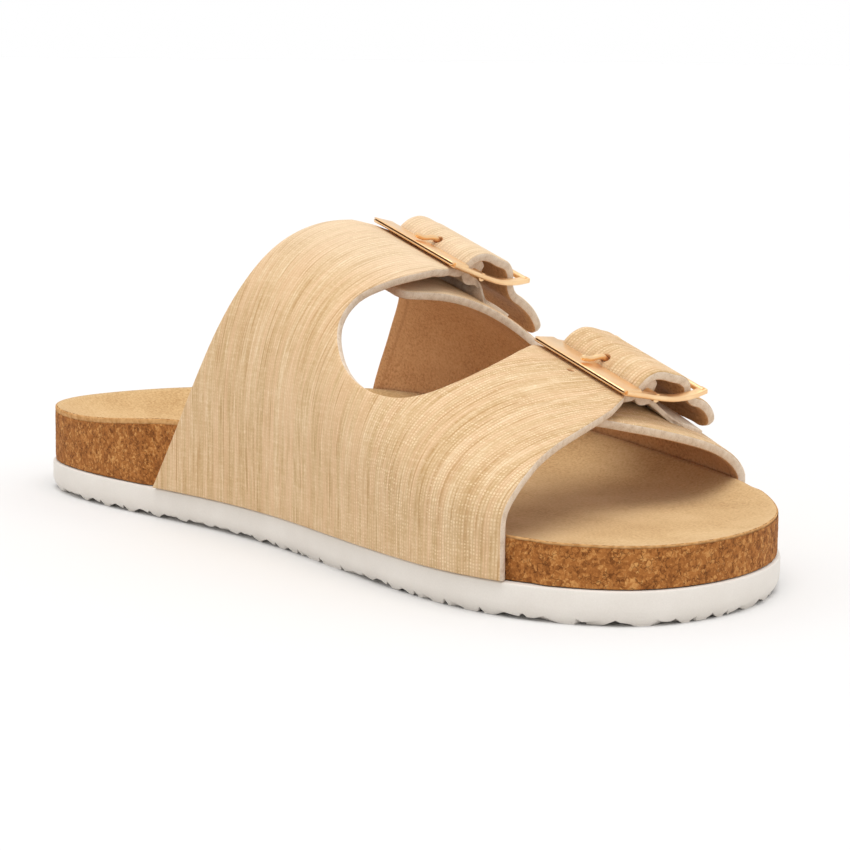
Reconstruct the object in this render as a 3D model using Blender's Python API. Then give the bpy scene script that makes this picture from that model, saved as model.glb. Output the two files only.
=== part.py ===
# Left sandal with two buckled straps on a cork footbed and a white lugged outsole.
# Working numbers are millimetres: x runs from the heel to the toe, y to the outer side, z up.
import math

import bmesh
import bpy
import numpy as np
from mathutils import Vector
from mathutils.geometry import delaunay_2d_cdt

for old in list(bpy.data.objects):
    bpy.data.objects.remove(old, do_unlink=True)

# Driving sizes
LENGTH = 250.0
BALL_WIDTH = 98.6
INSTEP = 78.8
HEEL_HEIGHT = 22.3
GAP = 0.3
METRE = 0.001

# Outsole
SOLE_THICK = 7.8
LUG_PITCH_X = 11.1
LUG_PITCH_Y = 10.5
LUG_DEPTH = 1.5
LUG_TOP_SHARE = 0.56
LUG_TWIST = math.radians(24.0)
SOLE_EDGE_BEVEL = 1.4

# Footbed and insole
CORK_INSET_BARE = 0.7
CORK_INSET_UNDER_UPPER = 1.7
INSOLE_THICK = 1.0

# Upper
WALL = 2.4
WALL_PROUD = 1.2
TAB_THICK = 1.4
INNER_POWER = 2.5

# Outline of the sole: shares of the length and of the ball width
OUTLINE_COLUMNS = ("station", "inner", "outer")
OUTLINE = (
    (0.012, 0.133, 0.202),
    (0.048, 0.247, 0.306),
    (0.120, 0.317, 0.380),
    (0.240, 0.333, 0.415),
    (0.380, 0.319, 0.445),
    (0.520, 0.347, 0.483),
    (0.640, 0.405, 0.520),
    (0.740, 0.449, 0.540),
    (0.820, 0.466, 0.498),
    (0.888, 0.444, 0.402),
    (0.944, 0.383, 0.272),
    (0.984, 0.285, 0.099),
)
HEEL_TIP = 0.054
TOE_TIP = -0.129

# Footbed: rim heights as shares of the heel height, floor height and width of the dished edge
FOOTBED_COLUMNS = ("station", "inner_rim", "outer_rim", "floor", "dish")
FOOTBED = (
    (0.00, 1.0435, 1.0435, 16.6, 20.0),
    (0.15, 1.0405, 1.1690, 16.3, 20.0),
    (0.31, 1.1890, 1.3180, 17.2, 20.0),
    (0.46, 1.2265, 1.2800, 18.2, 24.0),
    (0.60, 1.0770, 1.1450, 17.6, 24.0),
    (0.74, 0.8830, 0.9350, 15.4, 18.0),
    (0.88, 0.8030, 0.8220, 15.6, 14.0),
    (1.00, 0.7840, 0.7840, 16.2, 10.0),
)

# Sections of the upper: crown heights as shares of the instep, and where each arch springs
SECTION_COLUMNS = ("station", "inner_crown", "inner_spring",
                   "outer_crown", "outer_spring", "outer_power")
SECTIONS = (
    (0.272, 1.0990, 24.8, 1.0257, 23.2, 2.40),
    (0.420, 1.0000, 26.4, 0.9178, 24.6, 2.40),
    (0.448, 0.9812, 26.4, 0.8930, 25.0, 2.40),
    (0.570, 0.8555, 24.8, 0.7790, 24.2, 2.10),
    (0.640, 0.7595, 23.4, 0.6920, 22.8, 2.00),
    (0.700, 0.6654, 21.4, 0.6130, 21.6, 1.90),
    (0.760, 0.5922, 20.0, 0.5470, 20.2, 1.80),
    (0.812, 0.5278, 18.8, 0.4830, 19.2, 1.70),
    (0.900, 0.4457, 18.4, 0.4100, 18.4, 1.70),
)
INNER_CROWN_Y = 6.0
OUTER_CROWN_Y = -8.0

# Edges of the inner-side piece: girth up from the sole and station along the shoe
INNER_REAR_EDGE = (
    (0.0, 73.0), (20.0, 85.0), (38.6, 95.0), (56.5, 102.2), (75.0, 106.0), (85.0, 107.2),
    (92.0, 108.4), (97.2, 109.0), (99.0, 109.6), (100.2, 110.3), (101.1, 110.8),
)
INNER_KEYHOLE_REAR = (
    (95.9, 137.0), (95.2, 137.5), (94.0, 138.3), (92.2, 139.2), (88.5, 140.7), (80.0, 142.4),
    (69.0, 142.3), (59.0, 141.2), (50.2, 143.2), (42.0, 150.6), (37.6, 159.2),
)
INNER_KEYHOLE_FRONT = (
    (36.0, 168.0), (37.3, 176.0), (41.2, 180.4), (47.5, 182.2), (55.2, 182.0), (64.7, 180.0),
    (74.5, 176.8), (80.0, 174.4), (82.2, 173.6), (84.0, 174.0), (85.2, 174.8), (86.1, 175.3),
)
INNER_FRONT_EDGE = (
    (80.1, 201.5), (79.4, 202.1), (78.2, 203.1), (76.4, 204.0), (72.4, 205.6), (67.5, 207.4),
    (60.0, 210.2), (51.0, 213.1), (41.7, 215.6), (33.0, 217.9), (27.0, 219.6), (20.0, 220.9),
    (12.6, 220.9), (0.0, 221.0),
)

# Edges of the outer-side piece, which lies below the inner-side straps
OUTER_REAR_EDGE = (
    (0.0, 68.0), (21.0, 72.0), (38.0, 81.0), (55.0, 93.5), (72.0, 101.5), (86.0, 104.5),
)
OUTER_KEYHOLE_REAR = (
    (84.0, 139.5), (70.0, 138.6), (55.0, 139.2), (43.0, 142.0), (36.0, 148.5),
)
OUTER_KEYHOLE_FRONT = (
    (32.0, 160.0), (34.5, 170.5), (40.5, 176.0), (50.0, 177.4), (62.0, 176.0), (72.0, 174.4),
)
OUTER_FRONT_EDGE = (
    (64.0, 203.2), (55.0, 205.2), (38.0, 206.4), (26.0, 204.6), (14.0, 202.4), (0.0, 202.0),
)
OUTER_FLAP_END_Y = -5.0

# Buckles: local v runs across the strap's plate to the far bar, w up from the plate's top
BUCKLE_COLUMNS = ("name", "rear_x", "rear_z", "front_x", "front_z", "near_y", "roll")
BUCKLES = (
    ("rear", 108.5, 78.6, 139.3, 69.0, 11.0, 12.5),
    ("front", 172.7, 53.8, 203.8, 43.7, 8.0, 4.5),
)
PLATE_WIDE = 6.4
PLATE_THICK = 1.2
PLATE_HALF = 16.1
RAIL_OUT = 16.6
RAIL_WIDE = 2.2
RAIL_THICK = 1.3
RAIL_PATH = (
    (1.2, -0.15), (3.5, -0.40), (7.5, -0.80), (13.0, -1.40), (18.5, -1.65), (23.8, -0.95),
    (27.9, 0.40),
)
FAR_BAR_V = 27.3
INNER_BAR_V = 12.2
INNER_BAR_W = -2.2
INNER_BAR_RADIUS = 1.1
LOOP_OUTER = 3.6
LOOP_INNER = 1.4
LOOP_HALF = 12.6
STRAP_HALF = 13.6
STRAP_PATH = (
    (0.0, -1.90), (3.5, -1.95), (6.3, -1.75), (7.7, 0.50), (9.4, 2.30), (12.2, 3.60), (15.2, 3.65),
    (18.4, 3.05),
)
STRAP_TAILS = {
    "rear": ((22.0, 2.50), (24.7, 0.35), (26.2, -2.70), (28.4, -4.70), (32.0, -5.80),
             (37.0, -7.90), (41.4, -11.10), (44.4, -14.20)),
    "front": ((22.0, 2.40), (24.7, 0.90), (26.2, -1.45), (28.4, -3.00), (31.2, -3.60),
              (35.0, -5.60), (37.8, -8.70), (39.0, -12.40)),
}
HOLE_FROM = (12.4, -1.55)
HOLE_TO = (6.2, 2.45)
HOLE_RADIUS = 1.2
PRONG_RADIUS = 0.7
PRONG_PATH = (
    (11.2, -0.78), (9.6, 0.26), (8.3, 1.10), (7.3, 1.55), (5.9, 1.45), (3.8, 1.00), (2.2, 1.05),
    (0.5, 1.40),
)

COLOURS = {
    "outsole": ((0.80, 0.79, 0.76), 0.55, 0.0),
    "cork_footbed": ((0.36, 0.20, 0.085), 0.85, 0.0),
    "insole": ((0.56, 0.38, 0.20), 0.9, 0.0),
    "upper": ((0.72, 0.55, 0.34), 0.7, 0.0),
    "buckle": ((0.78, 0.50, 0.30), 0.28, 1.0),
}


def smooth_path(points, per_span):
    """Points of a centripetal curve that passes through every given point."""
    pts = [np.array(p, dtype=float) for p in points]
    pts = [2 * pts[0] - pts[1]] + pts + [2 * pts[-1] - pts[-2]]
    out = []
    for i in range(1, len(pts) - 2):
        p0, p1, p2, p3 = pts[i - 1:i + 3]
        t0 = 0.0
        t1 = t0 + max(np.linalg.norm(p1 - p0), 1e-6) ** 0.5
        t2 = t1 + max(np.linalg.norm(p2 - p1), 1e-6) ** 0.5
        t3 = t2 + max(np.linalg.norm(p3 - p2), 1e-6) ** 0.5
        for k in range(per_span):
            t = t1 + (t2 - t1) * k / per_span
            a1 = (t1 - t) / (t1 - t0) * p0 + (t - t0) / (t1 - t0) * p1
            a2 = (t2 - t) / (t2 - t1) * p1 + (t - t1) / (t2 - t1) * p2
            a3 = (t3 - t) / (t3 - t2) * p2 + (t - t2) / (t3 - t2) * p3
            b1 = (t2 - t) / (t2 - t0) * a1 + (t - t0) / (t2 - t0) * a2
            b2 = (t3 - t) / (t3 - t1) * a2 + (t - t1) / (t3 - t1) * a3
            out.append((t2 - t) / (t2 - t1) * b1 + (t - t1) / (t2 - t1) * b2)
    out.append(pts[-2])
    return np.array(out)


def closed_spline(points, count):
    """Smooth closed curve through the points, by a periodic cubic in chord length."""
    p = np.array(points, dtype=float)
    n = len(p)
    h = np.linalg.norm(np.roll(p, -1, axis=0) - p, axis=1)
    a = np.zeros((n, n))
    rhs = np.zeros((n, 2))
    for i in range(n):
        j = (i - 1) % n
        k = (i + 1) % n
        a[i, j] += h[j]
        a[i, i] += 2 * (h[j] + h[i])
        a[i, k] += h[i]
        rhs[i] = 6 * ((p[k] - p[i]) / h[i] - (p[i] - p[j]) / h[j])
    m = np.linalg.solve(a, rhs)
    knots = np.concatenate([[0.0], np.cumsum(h)])
    out = []
    for s in np.linspace(0.0, knots[-1], count, endpoint=False):
        i = min(int(np.searchsorted(knots, s, side="right")) - 1, n - 1)
        k = (i + 1) % n
        t = s - knots[i]
        r = h[i] - t
        out.append(m[i] * r ** 3 / (6 * h[i]) + m[k] * t ** 3 / (6 * h[i])
                   + (p[i] / h[i] - m[i] * h[i] / 6) * r + (p[k] / h[i] - m[k] * h[i] / 6) * t)
    return np.array(out)


def table_value(table, column, columns, station):
    """Smooth value of one column of a table at a share of the length."""
    xs = np.array([row[0] for row in table])
    ys = np.array([row[columns.index(column)] for row in table])
    slopes = np.gradient(ys, xs)
    s = float(np.clip(station, xs[0], xs[-1]))
    i = int(np.clip(np.searchsorted(xs, s) - 1, 0, len(xs) - 2))
    h = xs[i + 1] - xs[i]
    t = (s - xs[i]) / h
    return ((1 + 2 * t) * (1 - t) ** 2 * ys[i] + t * (1 - t) ** 2 * h * slopes[i]
            + t * t * (3 - 2 * t) * ys[i + 1] + t * t * (t - 1) * h * slopes[i + 1])


def sole_outline(count):
    """Closed outline of the outsole, from the heel along the inner side to the toe and back."""
    inner = [(row[0] * LENGTH, -row[1] * BALL_WIDTH) for row in OUTLINE]
    outer = [(row[0] * LENGTH, row[2] * BALL_WIDTH) for row in OUTLINE]
    ring = [(0.0, HEEL_TIP * BALL_WIDTH)] + inner + [(LENGTH, TOE_TIP * BALL_WIDTH)] + outer[::-1]
    c = closed_spline(ring, count)
    lo = c[:, 0].min()
    hi = c[:, 0].max()
    c[:, 0] = (c[:, 0] - lo) * LENGTH / (hi - lo)
    return c


def inward(ring, amounts):
    """The ring moved inward by an amount at each point."""
    along = np.roll(ring, -1, axis=0) - np.roll(ring, 1, axis=0)
    along /= np.linalg.norm(along, axis=1)[:, None]
    normal = np.stack([-along[:, 1], along[:, 0]], axis=1)
    return ring + normal * np.asarray(amounts)[:, None]


def side_chains(ring):
    """Inner and outer chains of a ring, each from heel to toe."""
    heel = int(ring[:, 0].argmin())
    rolled = np.roll(ring, -heel, axis=0)
    toe = int(rolled[:, 0].argmax())
    inner = rolled[:toe + 1]
    outer = np.concatenate([rolled[toe:], rolled[:1]])[::-1]
    return inner, outer


RING = sole_outline(720)
INNER_SIDE, OUTER_SIDE = side_chains(RING)


def inner_width(x):
    return -float(np.interp(x, INNER_SIDE[:, 0], INNER_SIDE[:, 1]))


def outer_width(x):
    return float(np.interp(x, OUTER_SIDE[:, 0], OUTER_SIDE[:, 1]))


def ease(t):
    t = np.clip(t, 0.0, 1.0)
    return t * t * (3 - 2 * t)


def cork_inset(x, y):
    """The cork stands back a little more where the upper passes down its side."""
    start = 73.0 if y < 0 else 68.0
    stop = 222.0 if y < 0 else 206.0
    covered = ease((x - start + 7.0) / 5.0) * ease((stop + 9.0 - x) / 5.0)
    return CORK_INSET_BARE + (CORK_INSET_UNDER_UPPER - CORK_INSET_BARE) * covered


CORK_RING = inward(RING, [cork_inset(x, y) for x, y in RING])


def insole_top(x, y):
    """Height of the dished footbed's covered top."""
    share = x / LENGTH
    width_in = inner_width(x)
    across = (y + width_in) / max(width_in + outer_width(x), 1e-6)
    rim_in = table_value(FOOTBED, "inner_rim", FOOTBED_COLUMNS, share)
    rim_out = table_value(FOOTBED, "outer_rim", FOOTBED_COLUMNS, share)
    rim = HEEL_HEIGHT * (rim_in + (rim_out - rim_in) * ease(across))
    floor = table_value(FOOTBED, "floor", FOOTBED_COLUMNS, share)
    dish = table_value(FOOTBED, "dish", FOOTBED_COLUMNS, share)
    reach = float(np.min(np.hypot(CORK_RING[:, 0] - x, CORK_RING[:, 1] - y)))
    return floor + (rim - floor) * max(0.0, 1.0 - reach / dish) ** 2


def new_object(name, verts, faces, colour=None):
    mesh = bpy.data.meshes.new(name)
    mesh.from_pydata([tuple(float(c) for c in v) for v in verts], [], faces)
    bm = bmesh.new()
    bm.from_mesh(mesh)
    bmesh.ops.recalc_face_normals(bm, faces=bm.faces)
    bm.to_mesh(mesh)
    bm.free()
    obj = bpy.data.objects.new(name, mesh)
    bpy.context.collection.objects.link(obj)
    if colour:
        paint(obj, colour)
    return obj


def paint(obj, colour):
    rgb, rough, metal = COLOURS[colour]
    mat = bpy.data.materials.new(obj.name)
    mat.use_nodes = True
    shader = mat.node_tree.nodes["Principled BSDF"]
    shader.inputs["Base Color"].default_value = (*rgb, 1.0)
    shader.inputs["Roughness"].default_value = rough
    shader.inputs["Metallic"].default_value = metal
    mat.diffuse_color = (*rgb, 1.0)
    obj.data.materials.clear()
    obj.data.materials.append(mat)


def combine(base, other, operation):
    """Boolean of two closed objects; the second one is used up."""
    mod = base.modifiers.new(operation, "BOOLEAN")
    mod.operation = operation
    mod.solver = "EXACT"
    mod.object = other
    graph = bpy.context.evaluated_depsgraph_get()
    mesh = bpy.data.meshes.new_from_object(base.evaluated_get(graph))
    base.modifiers.clear()
    base.data = mesh
    bpy.data.objects.remove(other, do_unlink=True)
    return base


def tidy(obj, angle=35.0):
    """Merge stray points and shade the curved faces smooth."""
    bm = bmesh.new()
    bm.from_mesh(obj.data)
    bmesh.ops.remove_doubles(bm, verts=bm.verts, dist=0.002)
    bmesh.ops.dissolve_degenerate(bm, edges=bm.edges, dist=0.002)
    bmesh.ops.triangulate(bm, faces=bm.faces)
    bm.to_mesh(obj.data)
    bm.free()
    obj.data.shade_smooth()
    obj.data.set_sharp_from_angle(angle=math.radians(angle))


def add_face(faces, corners):
    """Add a face without the corners that fall together."""
    kept = []
    for c in corners:
        if c not in kept:
            kept.append(c)
    if len(kept) > 2:
        faces.append(kept)


def footbed_grid(rows, columns):
    """Points of a grid over the cork outline that closes to a tip at heel and toe."""
    inner, outer = side_chains(CORK_RING)
    x0 = inner[0, 0]
    x1 = inner[-1, 0]
    grid = []
    for i in range(rows + 1):
        x = x0 + (x1 - x0) * (1 - math.cos(math.pi * i / rows)) / 2
        y_in = float(np.interp(x, inner[:, 0], inner[:, 1]))
        y_out = float(np.interp(x, outer[:, 0], outer[:, 1]))
        row = []
        for j in range(columns + 1):
            row.append((x, y_in + (y_out - y_in) * (1 - math.cos(math.pi * j / columns)) / 2))
        grid.append(row)
    return grid


def slab(name, grid, top_of, bottom_of, colour):
    """Closed solid between two heights over a grid whose end rows are single points."""
    rows = len(grid) - 1
    columns = len(grid[0]) - 1
    verts = []
    index = {}
    for level, height in (("top", top_of), ("bottom", bottom_of)):
        for i in range(rows + 1):
            for j in range(columns + 1):
                tip = i in (0, rows)
                if tip and j:
                    index[level, i, j] = index[level, i, 0]
                    continue
                x, y = grid[i][j]
                index[level, i, j] = len(verts)
                verts.append((x, y, height(x, y)))
    faces = []
    for i in range(rows):
        for level in ("top", "bottom"):
            for j in range(columns):
                add_face(faces, [index[level, i, j], index[level, i + 1, j],
                                 index[level, i + 1, j + 1], index[level, i, j + 1]])
        for j in (0, columns):
            add_face(faces, [index["top", i, j], index["top", i + 1, j],
                             index["bottom", i + 1, j], index["bottom", i, j]])
    return new_object(name, verts, faces, colour)


def make_outsole():
    """Outline prism cut by a lattice of twisted, flat-topped lugs."""
    ring = sole_outline(84)
    levels = ((-3.0, SOLE_EDGE_BEVEL), (0.4, SOLE_EDGE_BEVEL), (2.2, 0.25), (SOLE_THICK, 0.0))
    count = len(ring)
    verts = []
    for z, inset in levels:
        for x, y in inward(ring, [inset] * count):
            verts.append((x, y, z))
    faces = [list(range(count))[::-1], [count * (len(levels) - 1) + k for k in range(count)]]
    for a in range(len(levels) - 1):
        for k in range(count):
            n = (k + 1) % count
            faces.append([a * count + k, a * count + n, (a + 1) * count + n, (a + 1) * count + k])
    sole = new_object("outsole", verts, faces, "outsole")

    columns = int(math.ceil(LENGTH / LUG_PITCH_X)) + 1
    rows = int(math.ceil(BALL_WIDTH / LUG_PITCH_Y)) + 2
    x0 = (LENGTH - columns * LUG_PITCH_X) / 2
    y0 = (RING[:, 1].max() + RING[:, 1].min()) / 2 - rows * LUG_PITCH_Y / 2
    verts = []
    faces = []
    for i in range(columns + 1):
        for j in range(rows + 1):
            verts.append((x0 + i * LUG_PITCH_X, y0 + j * LUG_PITCH_Y, LUG_DEPTH))
    for i in range(columns):
        for j in range(rows):
            cx = x0 + (i + 0.5) * LUG_PITCH_X
            cy = y0 + (j + 0.5) * LUG_PITCH_Y
            corner = [i * (rows + 1) + j, (i + 1) * (rows + 1) + j,
                      (i + 1) * (rows + 1) + j + 1, i * (rows + 1) + j + 1]
            top = len(verts)
            for sx, sy in ((-1, -1), (1, -1), (1, 1), (-1, 1)):
                hx = sx * LUG_PITCH_X * LUG_TOP_SHARE / 2
                hy = sy * LUG_PITCH_Y * LUG_TOP_SHARE / 2
                verts.append((cx + hx * math.cos(LUG_TWIST) - hy * math.sin(LUG_TWIST),
                              cy + hx * math.sin(LUG_TWIST) + hy * math.cos(LUG_TWIST), 0.0))
            faces.append([top, top + 1, top + 2, top + 3])
            for k in range(4):
                n = (k + 1) % 4
                faces.append([corner[k], corner[n], top + n])
                faces.append([corner[k], top + n, top + k])
    rim = [i * (rows + 1) for i in range(columns + 1)]
    rim += [columns * (rows + 1) + j for j in range(1, rows + 1)]
    rim += [i * (rows + 1) + rows for i in range(columns - 1, -1, -1)]
    rim += [j for j in range(rows - 1, 0, -1)]
    base = len(verts)
    for k in rim:
        verts.append((verts[k][0], verts[k][1], 20.0))
    for k in range(len(rim)):
        n = (k + 1) % len(rim)
        faces.append([rim[k], rim[n], base + n, base + k])
    faces.append([base + k for k in range(len(rim))])
    lattice = new_object("lattice", verts, faces)
    combine(sole, lattice, "INTERSECT")
    paint(sole, "outsole")
    tidy(sole, 20.0)
    return sole


class Buckle:
    """Local frame of one buckle: u along its plate, v across to the far bar, w up."""

    def __init__(self, row):
        value = dict(zip(BUCKLE_COLUMNS, row))
        self.name = value["name"]
        run = np.array([value["front_x"] - value["rear_x"], 0.0, value["front_z"] - value["rear_z"]])
        self.centre = np.array([(value["rear_x"] + value["front_x"]) / 2, value["near_y"],
                                (value["rear_z"] + value["front_z"]) / 2])
        self.u = run / np.linalg.norm(run)
        up = np.cross(self.u, (0.0, 1.0, 0.0))
        roll = math.radians(value["roll"])
        self.v = math.cos(roll) * np.array((0.0, 1.0, 0.0)) - math.sin(roll) * up
        self.w = math.cos(roll) * up + math.sin(roll) * np.array((0.0, 1.0, 0.0))

    def at(self, u, v, w):
        return self.centre + u * self.u + v * self.v + w * self.w


REAR = Buckle(BUCKLES[0])
FRONT = Buckle(BUCKLES[1])


def section_value(column, x):
    return table_value(SECTIONS, column, SECTION_COLUMNS, x / LENGTH)


def inner_section(x):
    """Outer face of the inner-side piece at one station, from the sole to the strap's tail."""
    buckle = REAR if x < 159.0 else FRONT
    half = inner_width(x) + WALL_PROUD
    spring = section_value("inner_spring", x)
    rise = section_value("inner_crown", x) * INSTEP - spring
    pts = [(x, -half, SOLE_THICK + GAP)]
    power = 2.0 / INNER_POWER
    stop = buckle.centre[1] - 7.0
    for a in np.linspace(0.0, math.pi / 2, 60):
        y = INNER_CROWN_Y - (INNER_CROWN_Y + half) * math.cos(a) ** power
        if y > stop:
            break
        pts.append((x, y, spring + rise * math.sin(a) ** power))
    u = (x - buckle.centre[0]) / buckle.u[0]
    strap = [pts[-1]] + [tuple(buckle.at(u, v, w)) for v, w in STRAP_PATH + STRAP_TAILS[buckle.name]]
    return np.array(pts[:-1] + [tuple(p) for p in smooth_path(strap, 8)])


def outer_section(x):
    """Outer face of the outer-side piece at one station: up the wall and over to the flap's end."""
    half = outer_width(x) + WALL_PROUD
    spring = section_value("outer_spring", x)
    rise = section_value("outer_crown", x) * INSTEP - spring
    power = 2.0 / section_value("outer_power", x)
    pts = [(x, half, SOLE_THICK + GAP)]
    for a in np.linspace(0.0, math.pi / 2, 90):
        y = OUTER_CROWN_Y + (half - OUTER_CROWN_Y) * math.cos(a) ** power
        pts.append((x, y, spring + rise * math.sin(a) ** power))
        if y < OUTER_FLAP_END_Y:
            break
    return np.array(pts)


def outer_height(x, y):
    """Height of the outer-side piece's outer face above a point."""
    pts = outer_section(x)
    return float(np.interp(-y, -pts[:, 1], pts[:, 2]))


class Skin:
    """A wall's outer face, found from the station and the girth up from the sole."""

    def __init__(self, section):
        self.section = section
        self.cache = {}

    def row(self, x):
        key = round(float(x), 4)
        if key not in self.cache:
            pts = self.section(key)
            run = np.concatenate([[0.0], np.cumsum(np.linalg.norm(np.diff(pts, axis=0), axis=1))])
            self.cache[key] = (run, pts)
        return self.cache[key]

    def girth(self, x):
        return float(self.row(x)[0][-1])

    def point(self, x, g):
        run, pts = self.row(x)
        return np.array([np.interp(g, run, pts[:, c]) for c in range(3)])

    def normal(self, x, g, outward):
        step = 0.6
        top = self.girth(x)
        g = min(max(g, step), top - step)
        across = self.point(x, g + step) - self.point(x, g - step)
        along = self.point(x + step, g) - self.point(x - step, g)
        n = np.cross(along, across)
        n /= np.linalg.norm(n)
        return n if np.dot(n, outward(x, g)) > 0 else -n


INNER_SKIN = Skin(inner_section)
OUTER_SKIN = Skin(outer_section)


def spaced(path, step):
    """Even steps along a path."""
    path = np.array(path, dtype=float)
    run = np.concatenate([[0.0], np.cumsum(np.linalg.norm(np.diff(path, axis=0), axis=1))])
    count = max(1, int(round(run[-1] / step)))
    s = np.linspace(0.0, run[-1], count + 1)
    return np.stack([np.interp(s, run, path[:, c]) for c in range(2)], axis=1)


def edge_path(*tables):
    """Smooth edge through rows of girth and station, as points of station and girth."""
    rows = [(x, g) for table in tables for g, x in table]
    return smooth_path(rows, 6)


def tail_path(skin, buckle, start, stop):
    """Up one side of a strap inside its buckle, round the tail and down the other side."""
    half = STRAP_HALF * buckle.u[0]
    left = buckle.centre[0] - half
    right = buckle.centre[0] + half
    corner = 5.0
    path = [(right, start)]
    for a in np.linspace(0.0, math.pi / 2, 5):
        path.append((right - corner * (1 - math.cos(a)), skin.girth(right) - corner * (1 - math.sin(a))))
    for a in np.linspace(math.pi / 2, 0.0, 5):
        path.append((left + corner * (1 - math.cos(a)), skin.girth(left) - corner * (1 - math.sin(a))))
    path.append((left, stop))
    return np.array(path)


def inner_outline(step, tail_step):
    """Cut shape of the inner-side piece as station and girth, once round."""
    base = [(INNER_REAR_EDGE[0][1], 0.0), (INNER_FRONT_EDGE[-1][1], 0.0)]
    front_tail = tail_path(INNER_SKIN, FRONT, 82.2, 88.4)
    rear_tail = tail_path(INNER_SKIN, REAR, 98.2, 103.6)
    up_front = np.array(list(edge_path(INNER_FRONT_EDGE)[::-1]) + [tuple(front_tail[0])])
    keyhole = edge_path([(88.4, front_tail[-1][0])] + list(INNER_KEYHOLE_FRONT[::-1])
                        + list(INNER_KEYHOLE_REAR[::-1]) + [(98.2, rear_tail[0][0])])
    down_rear = edge_path([(103.6, rear_tail[-1][0])] + list(INNER_REAR_EDGE[::-1]))
    fine = step / 2
    parts = [spaced(base, step), spaced(up_front, fine), spaced(front_tail, tail_step),
             spaced(keyhole, fine), spaced(rear_tail, tail_step), spaced(down_rear, fine)]
    return np.concatenate([p[:-1] for p in parts])


def outer_outline(step):
    """Cut shape of the outer-side piece."""
    corner = 4.0

    def flap(right, left):
        path = []
        for a in np.linspace(0.0, math.pi / 2, 5):
            path.append((right - corner * (1 - math.cos(a)),
                         OUTER_SKIN.girth(right) - corner * (1 - math.sin(a))))
        for a in np.linspace(math.pi / 2, 0.0, 5):
            path.append((left + corner * (1 - math.cos(a)),
                         OUTER_SKIN.girth(left) - corner * (1 - math.sin(a))))
        return path

    base = [(OUTER_REAR_EDGE[0][1], 0.0), (OUTER_FRONT_EDGE[-1][1], 0.0)]
    front_flap = flap(202.0, 174.0)
    rear_flap = flap(139.5, 105.0)
    up_front = np.array(list(edge_path(OUTER_FRONT_EDGE)[::-1]) + [front_flap[0]])
    keyhole = edge_path([(front_flap[-1][1], front_flap[-1][0])] + list(OUTER_KEYHOLE_FRONT[::-1])
                        + list(OUTER_KEYHOLE_REAR[::-1]) + [(rear_flap[0][1], rear_flap[0][0])])
    down_rear = np.array([rear_flap[-1]] + list(edge_path(OUTER_REAR_EDGE)[::-1]))
    parts = [spaced(base, step), spaced(up_front, step), spaced(front_flap, step),
             spaced(keyhole, step), spaced(rear_flap, step), spaced(down_rear, step)]
    return np.concatenate([p[:-1] for p in parts])


def fill_points(outline, step, tail_from):
    """Points of an even field over a cut shape, up to where a strap's tail starts."""
    lo = outline.min(axis=0)
    hi = outline.max(axis=0)
    pts = []
    row = 0
    g = lo[1] + step * 0.7
    while g < hi[1]:
        x = lo[0] + (step / 2 if row % 2 else 0.0)
        while x < hi[0]:
            if g < tail_from(x):
                pts.append((x, g))
            x += step
        g += step * 0.866
        row += 1
    return pts


def inside(outline, point, margin):
    """True for a point inside a closed outline and clear of it by a margin."""
    x, y = point
    a = outline
    b = np.roll(outline, -1, axis=0)
    crossing = (a[:, 1] > y) != (b[:, 1] > y)
    with np.errstate(divide="ignore", invalid="ignore"):
        at = a[:, 0] + (y - a[:, 1]) / (b[:, 1] - a[:, 1]) * (b[:, 0] - a[:, 0])
    if np.count_nonzero(crossing & (x < at)) % 2 == 0:
        return False
    return float(np.min(np.hypot(a[:, 0] - x, a[:, 1] - y))) > margin


def wall_object(name, skin, outline, interior, outward):
    """Closed wall: the cut shape on the skin, the same shape one wall inside, and the cut edge."""
    count = len(outline)
    flat = [Vector((float(x), float(g))) for x, g in list(outline) + list(interior)]
    edges = [(k, (k + 1) % count) for k in range(count)]
    coords, _, tris, _, _, _ = delaunay_2d_cdt(flat, edges, [], 1, 1e-5)
    coords = [(c[0], c[1]) for c in coords]
    outer = []
    inner = []
    for x, g in coords:
        p = skin.point(x, g)
        outer.append(p)
        inner.append(p - WALL * skin.normal(x, g, outward))
    total = len(coords)
    verts = outer + inner
    faces = []
    use = {}
    for t in tris:
        t = list(t)
        faces.append(t)
        faces.append([total + k for k in t[::-1]])
        for k in range(len(t)):
            e = (t[k], t[(k + 1) % len(t)])
            use[e] = use.get(e, 0) + 1
    for a, b in list(use):
        if (b, a) not in use:
            faces.append([b, a, total + a, total + b])
    base = [k for k, (x, g) in enumerate(coords) if g < 1e-4]
    for k in base:
        p = np.array(verts[total + k])
        p[2] = SOLE_THICK + GAP
        verts[total + k] = p
    return new_object(name, verts, faces)


def inner_outward(x, g):
    p = INNER_SKIN.point(x, g)
    return p - np.array((x, 8.0, 26.0))


def outer_outward(x, g):
    p = OUTER_SKIN.point(x, g)
    return p - np.array((x, 0.0, 14.0))


def make_inner_piece(step, tail_step):
    outline = inner_outline(step, tail_step)

    def tail_from(x):
        return 96.0 if x < 159.0 else 80.0

    interior = [p for p in fill_points(outline, step * 1.35, tail_from)
                if inside(outline, p, step * 0.55)]
    for buckle, start in ((REAR, 96.0), (FRONT, 80.0)):
        half = STRAP_HALF * buckle.u[0]
        top = INNER_SKIN.girth(buckle.centre[0])
        g = start + tail_step * 0.5
        while g < top - 1.0:
            for k in (-0.55, 0.0, 0.55):
                p = (buckle.centre[0] + k * half, g)
                if inside(outline, p, 1.0):
                    interior.append(p)
            g += tail_step
    return wall_object("inner_piece", INNER_SKIN, outline, interior, inner_outward)


def make_outer_piece(step):
    outline = outer_outline(step)
    interior = [p for p in fill_points(outline, step * 1.35, lambda x: 1000.0)
                if inside(outline, p, step * 0.55)]
    return wall_object("outer_piece", OUTER_SKIN, outline, interior, outer_outward)


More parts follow.
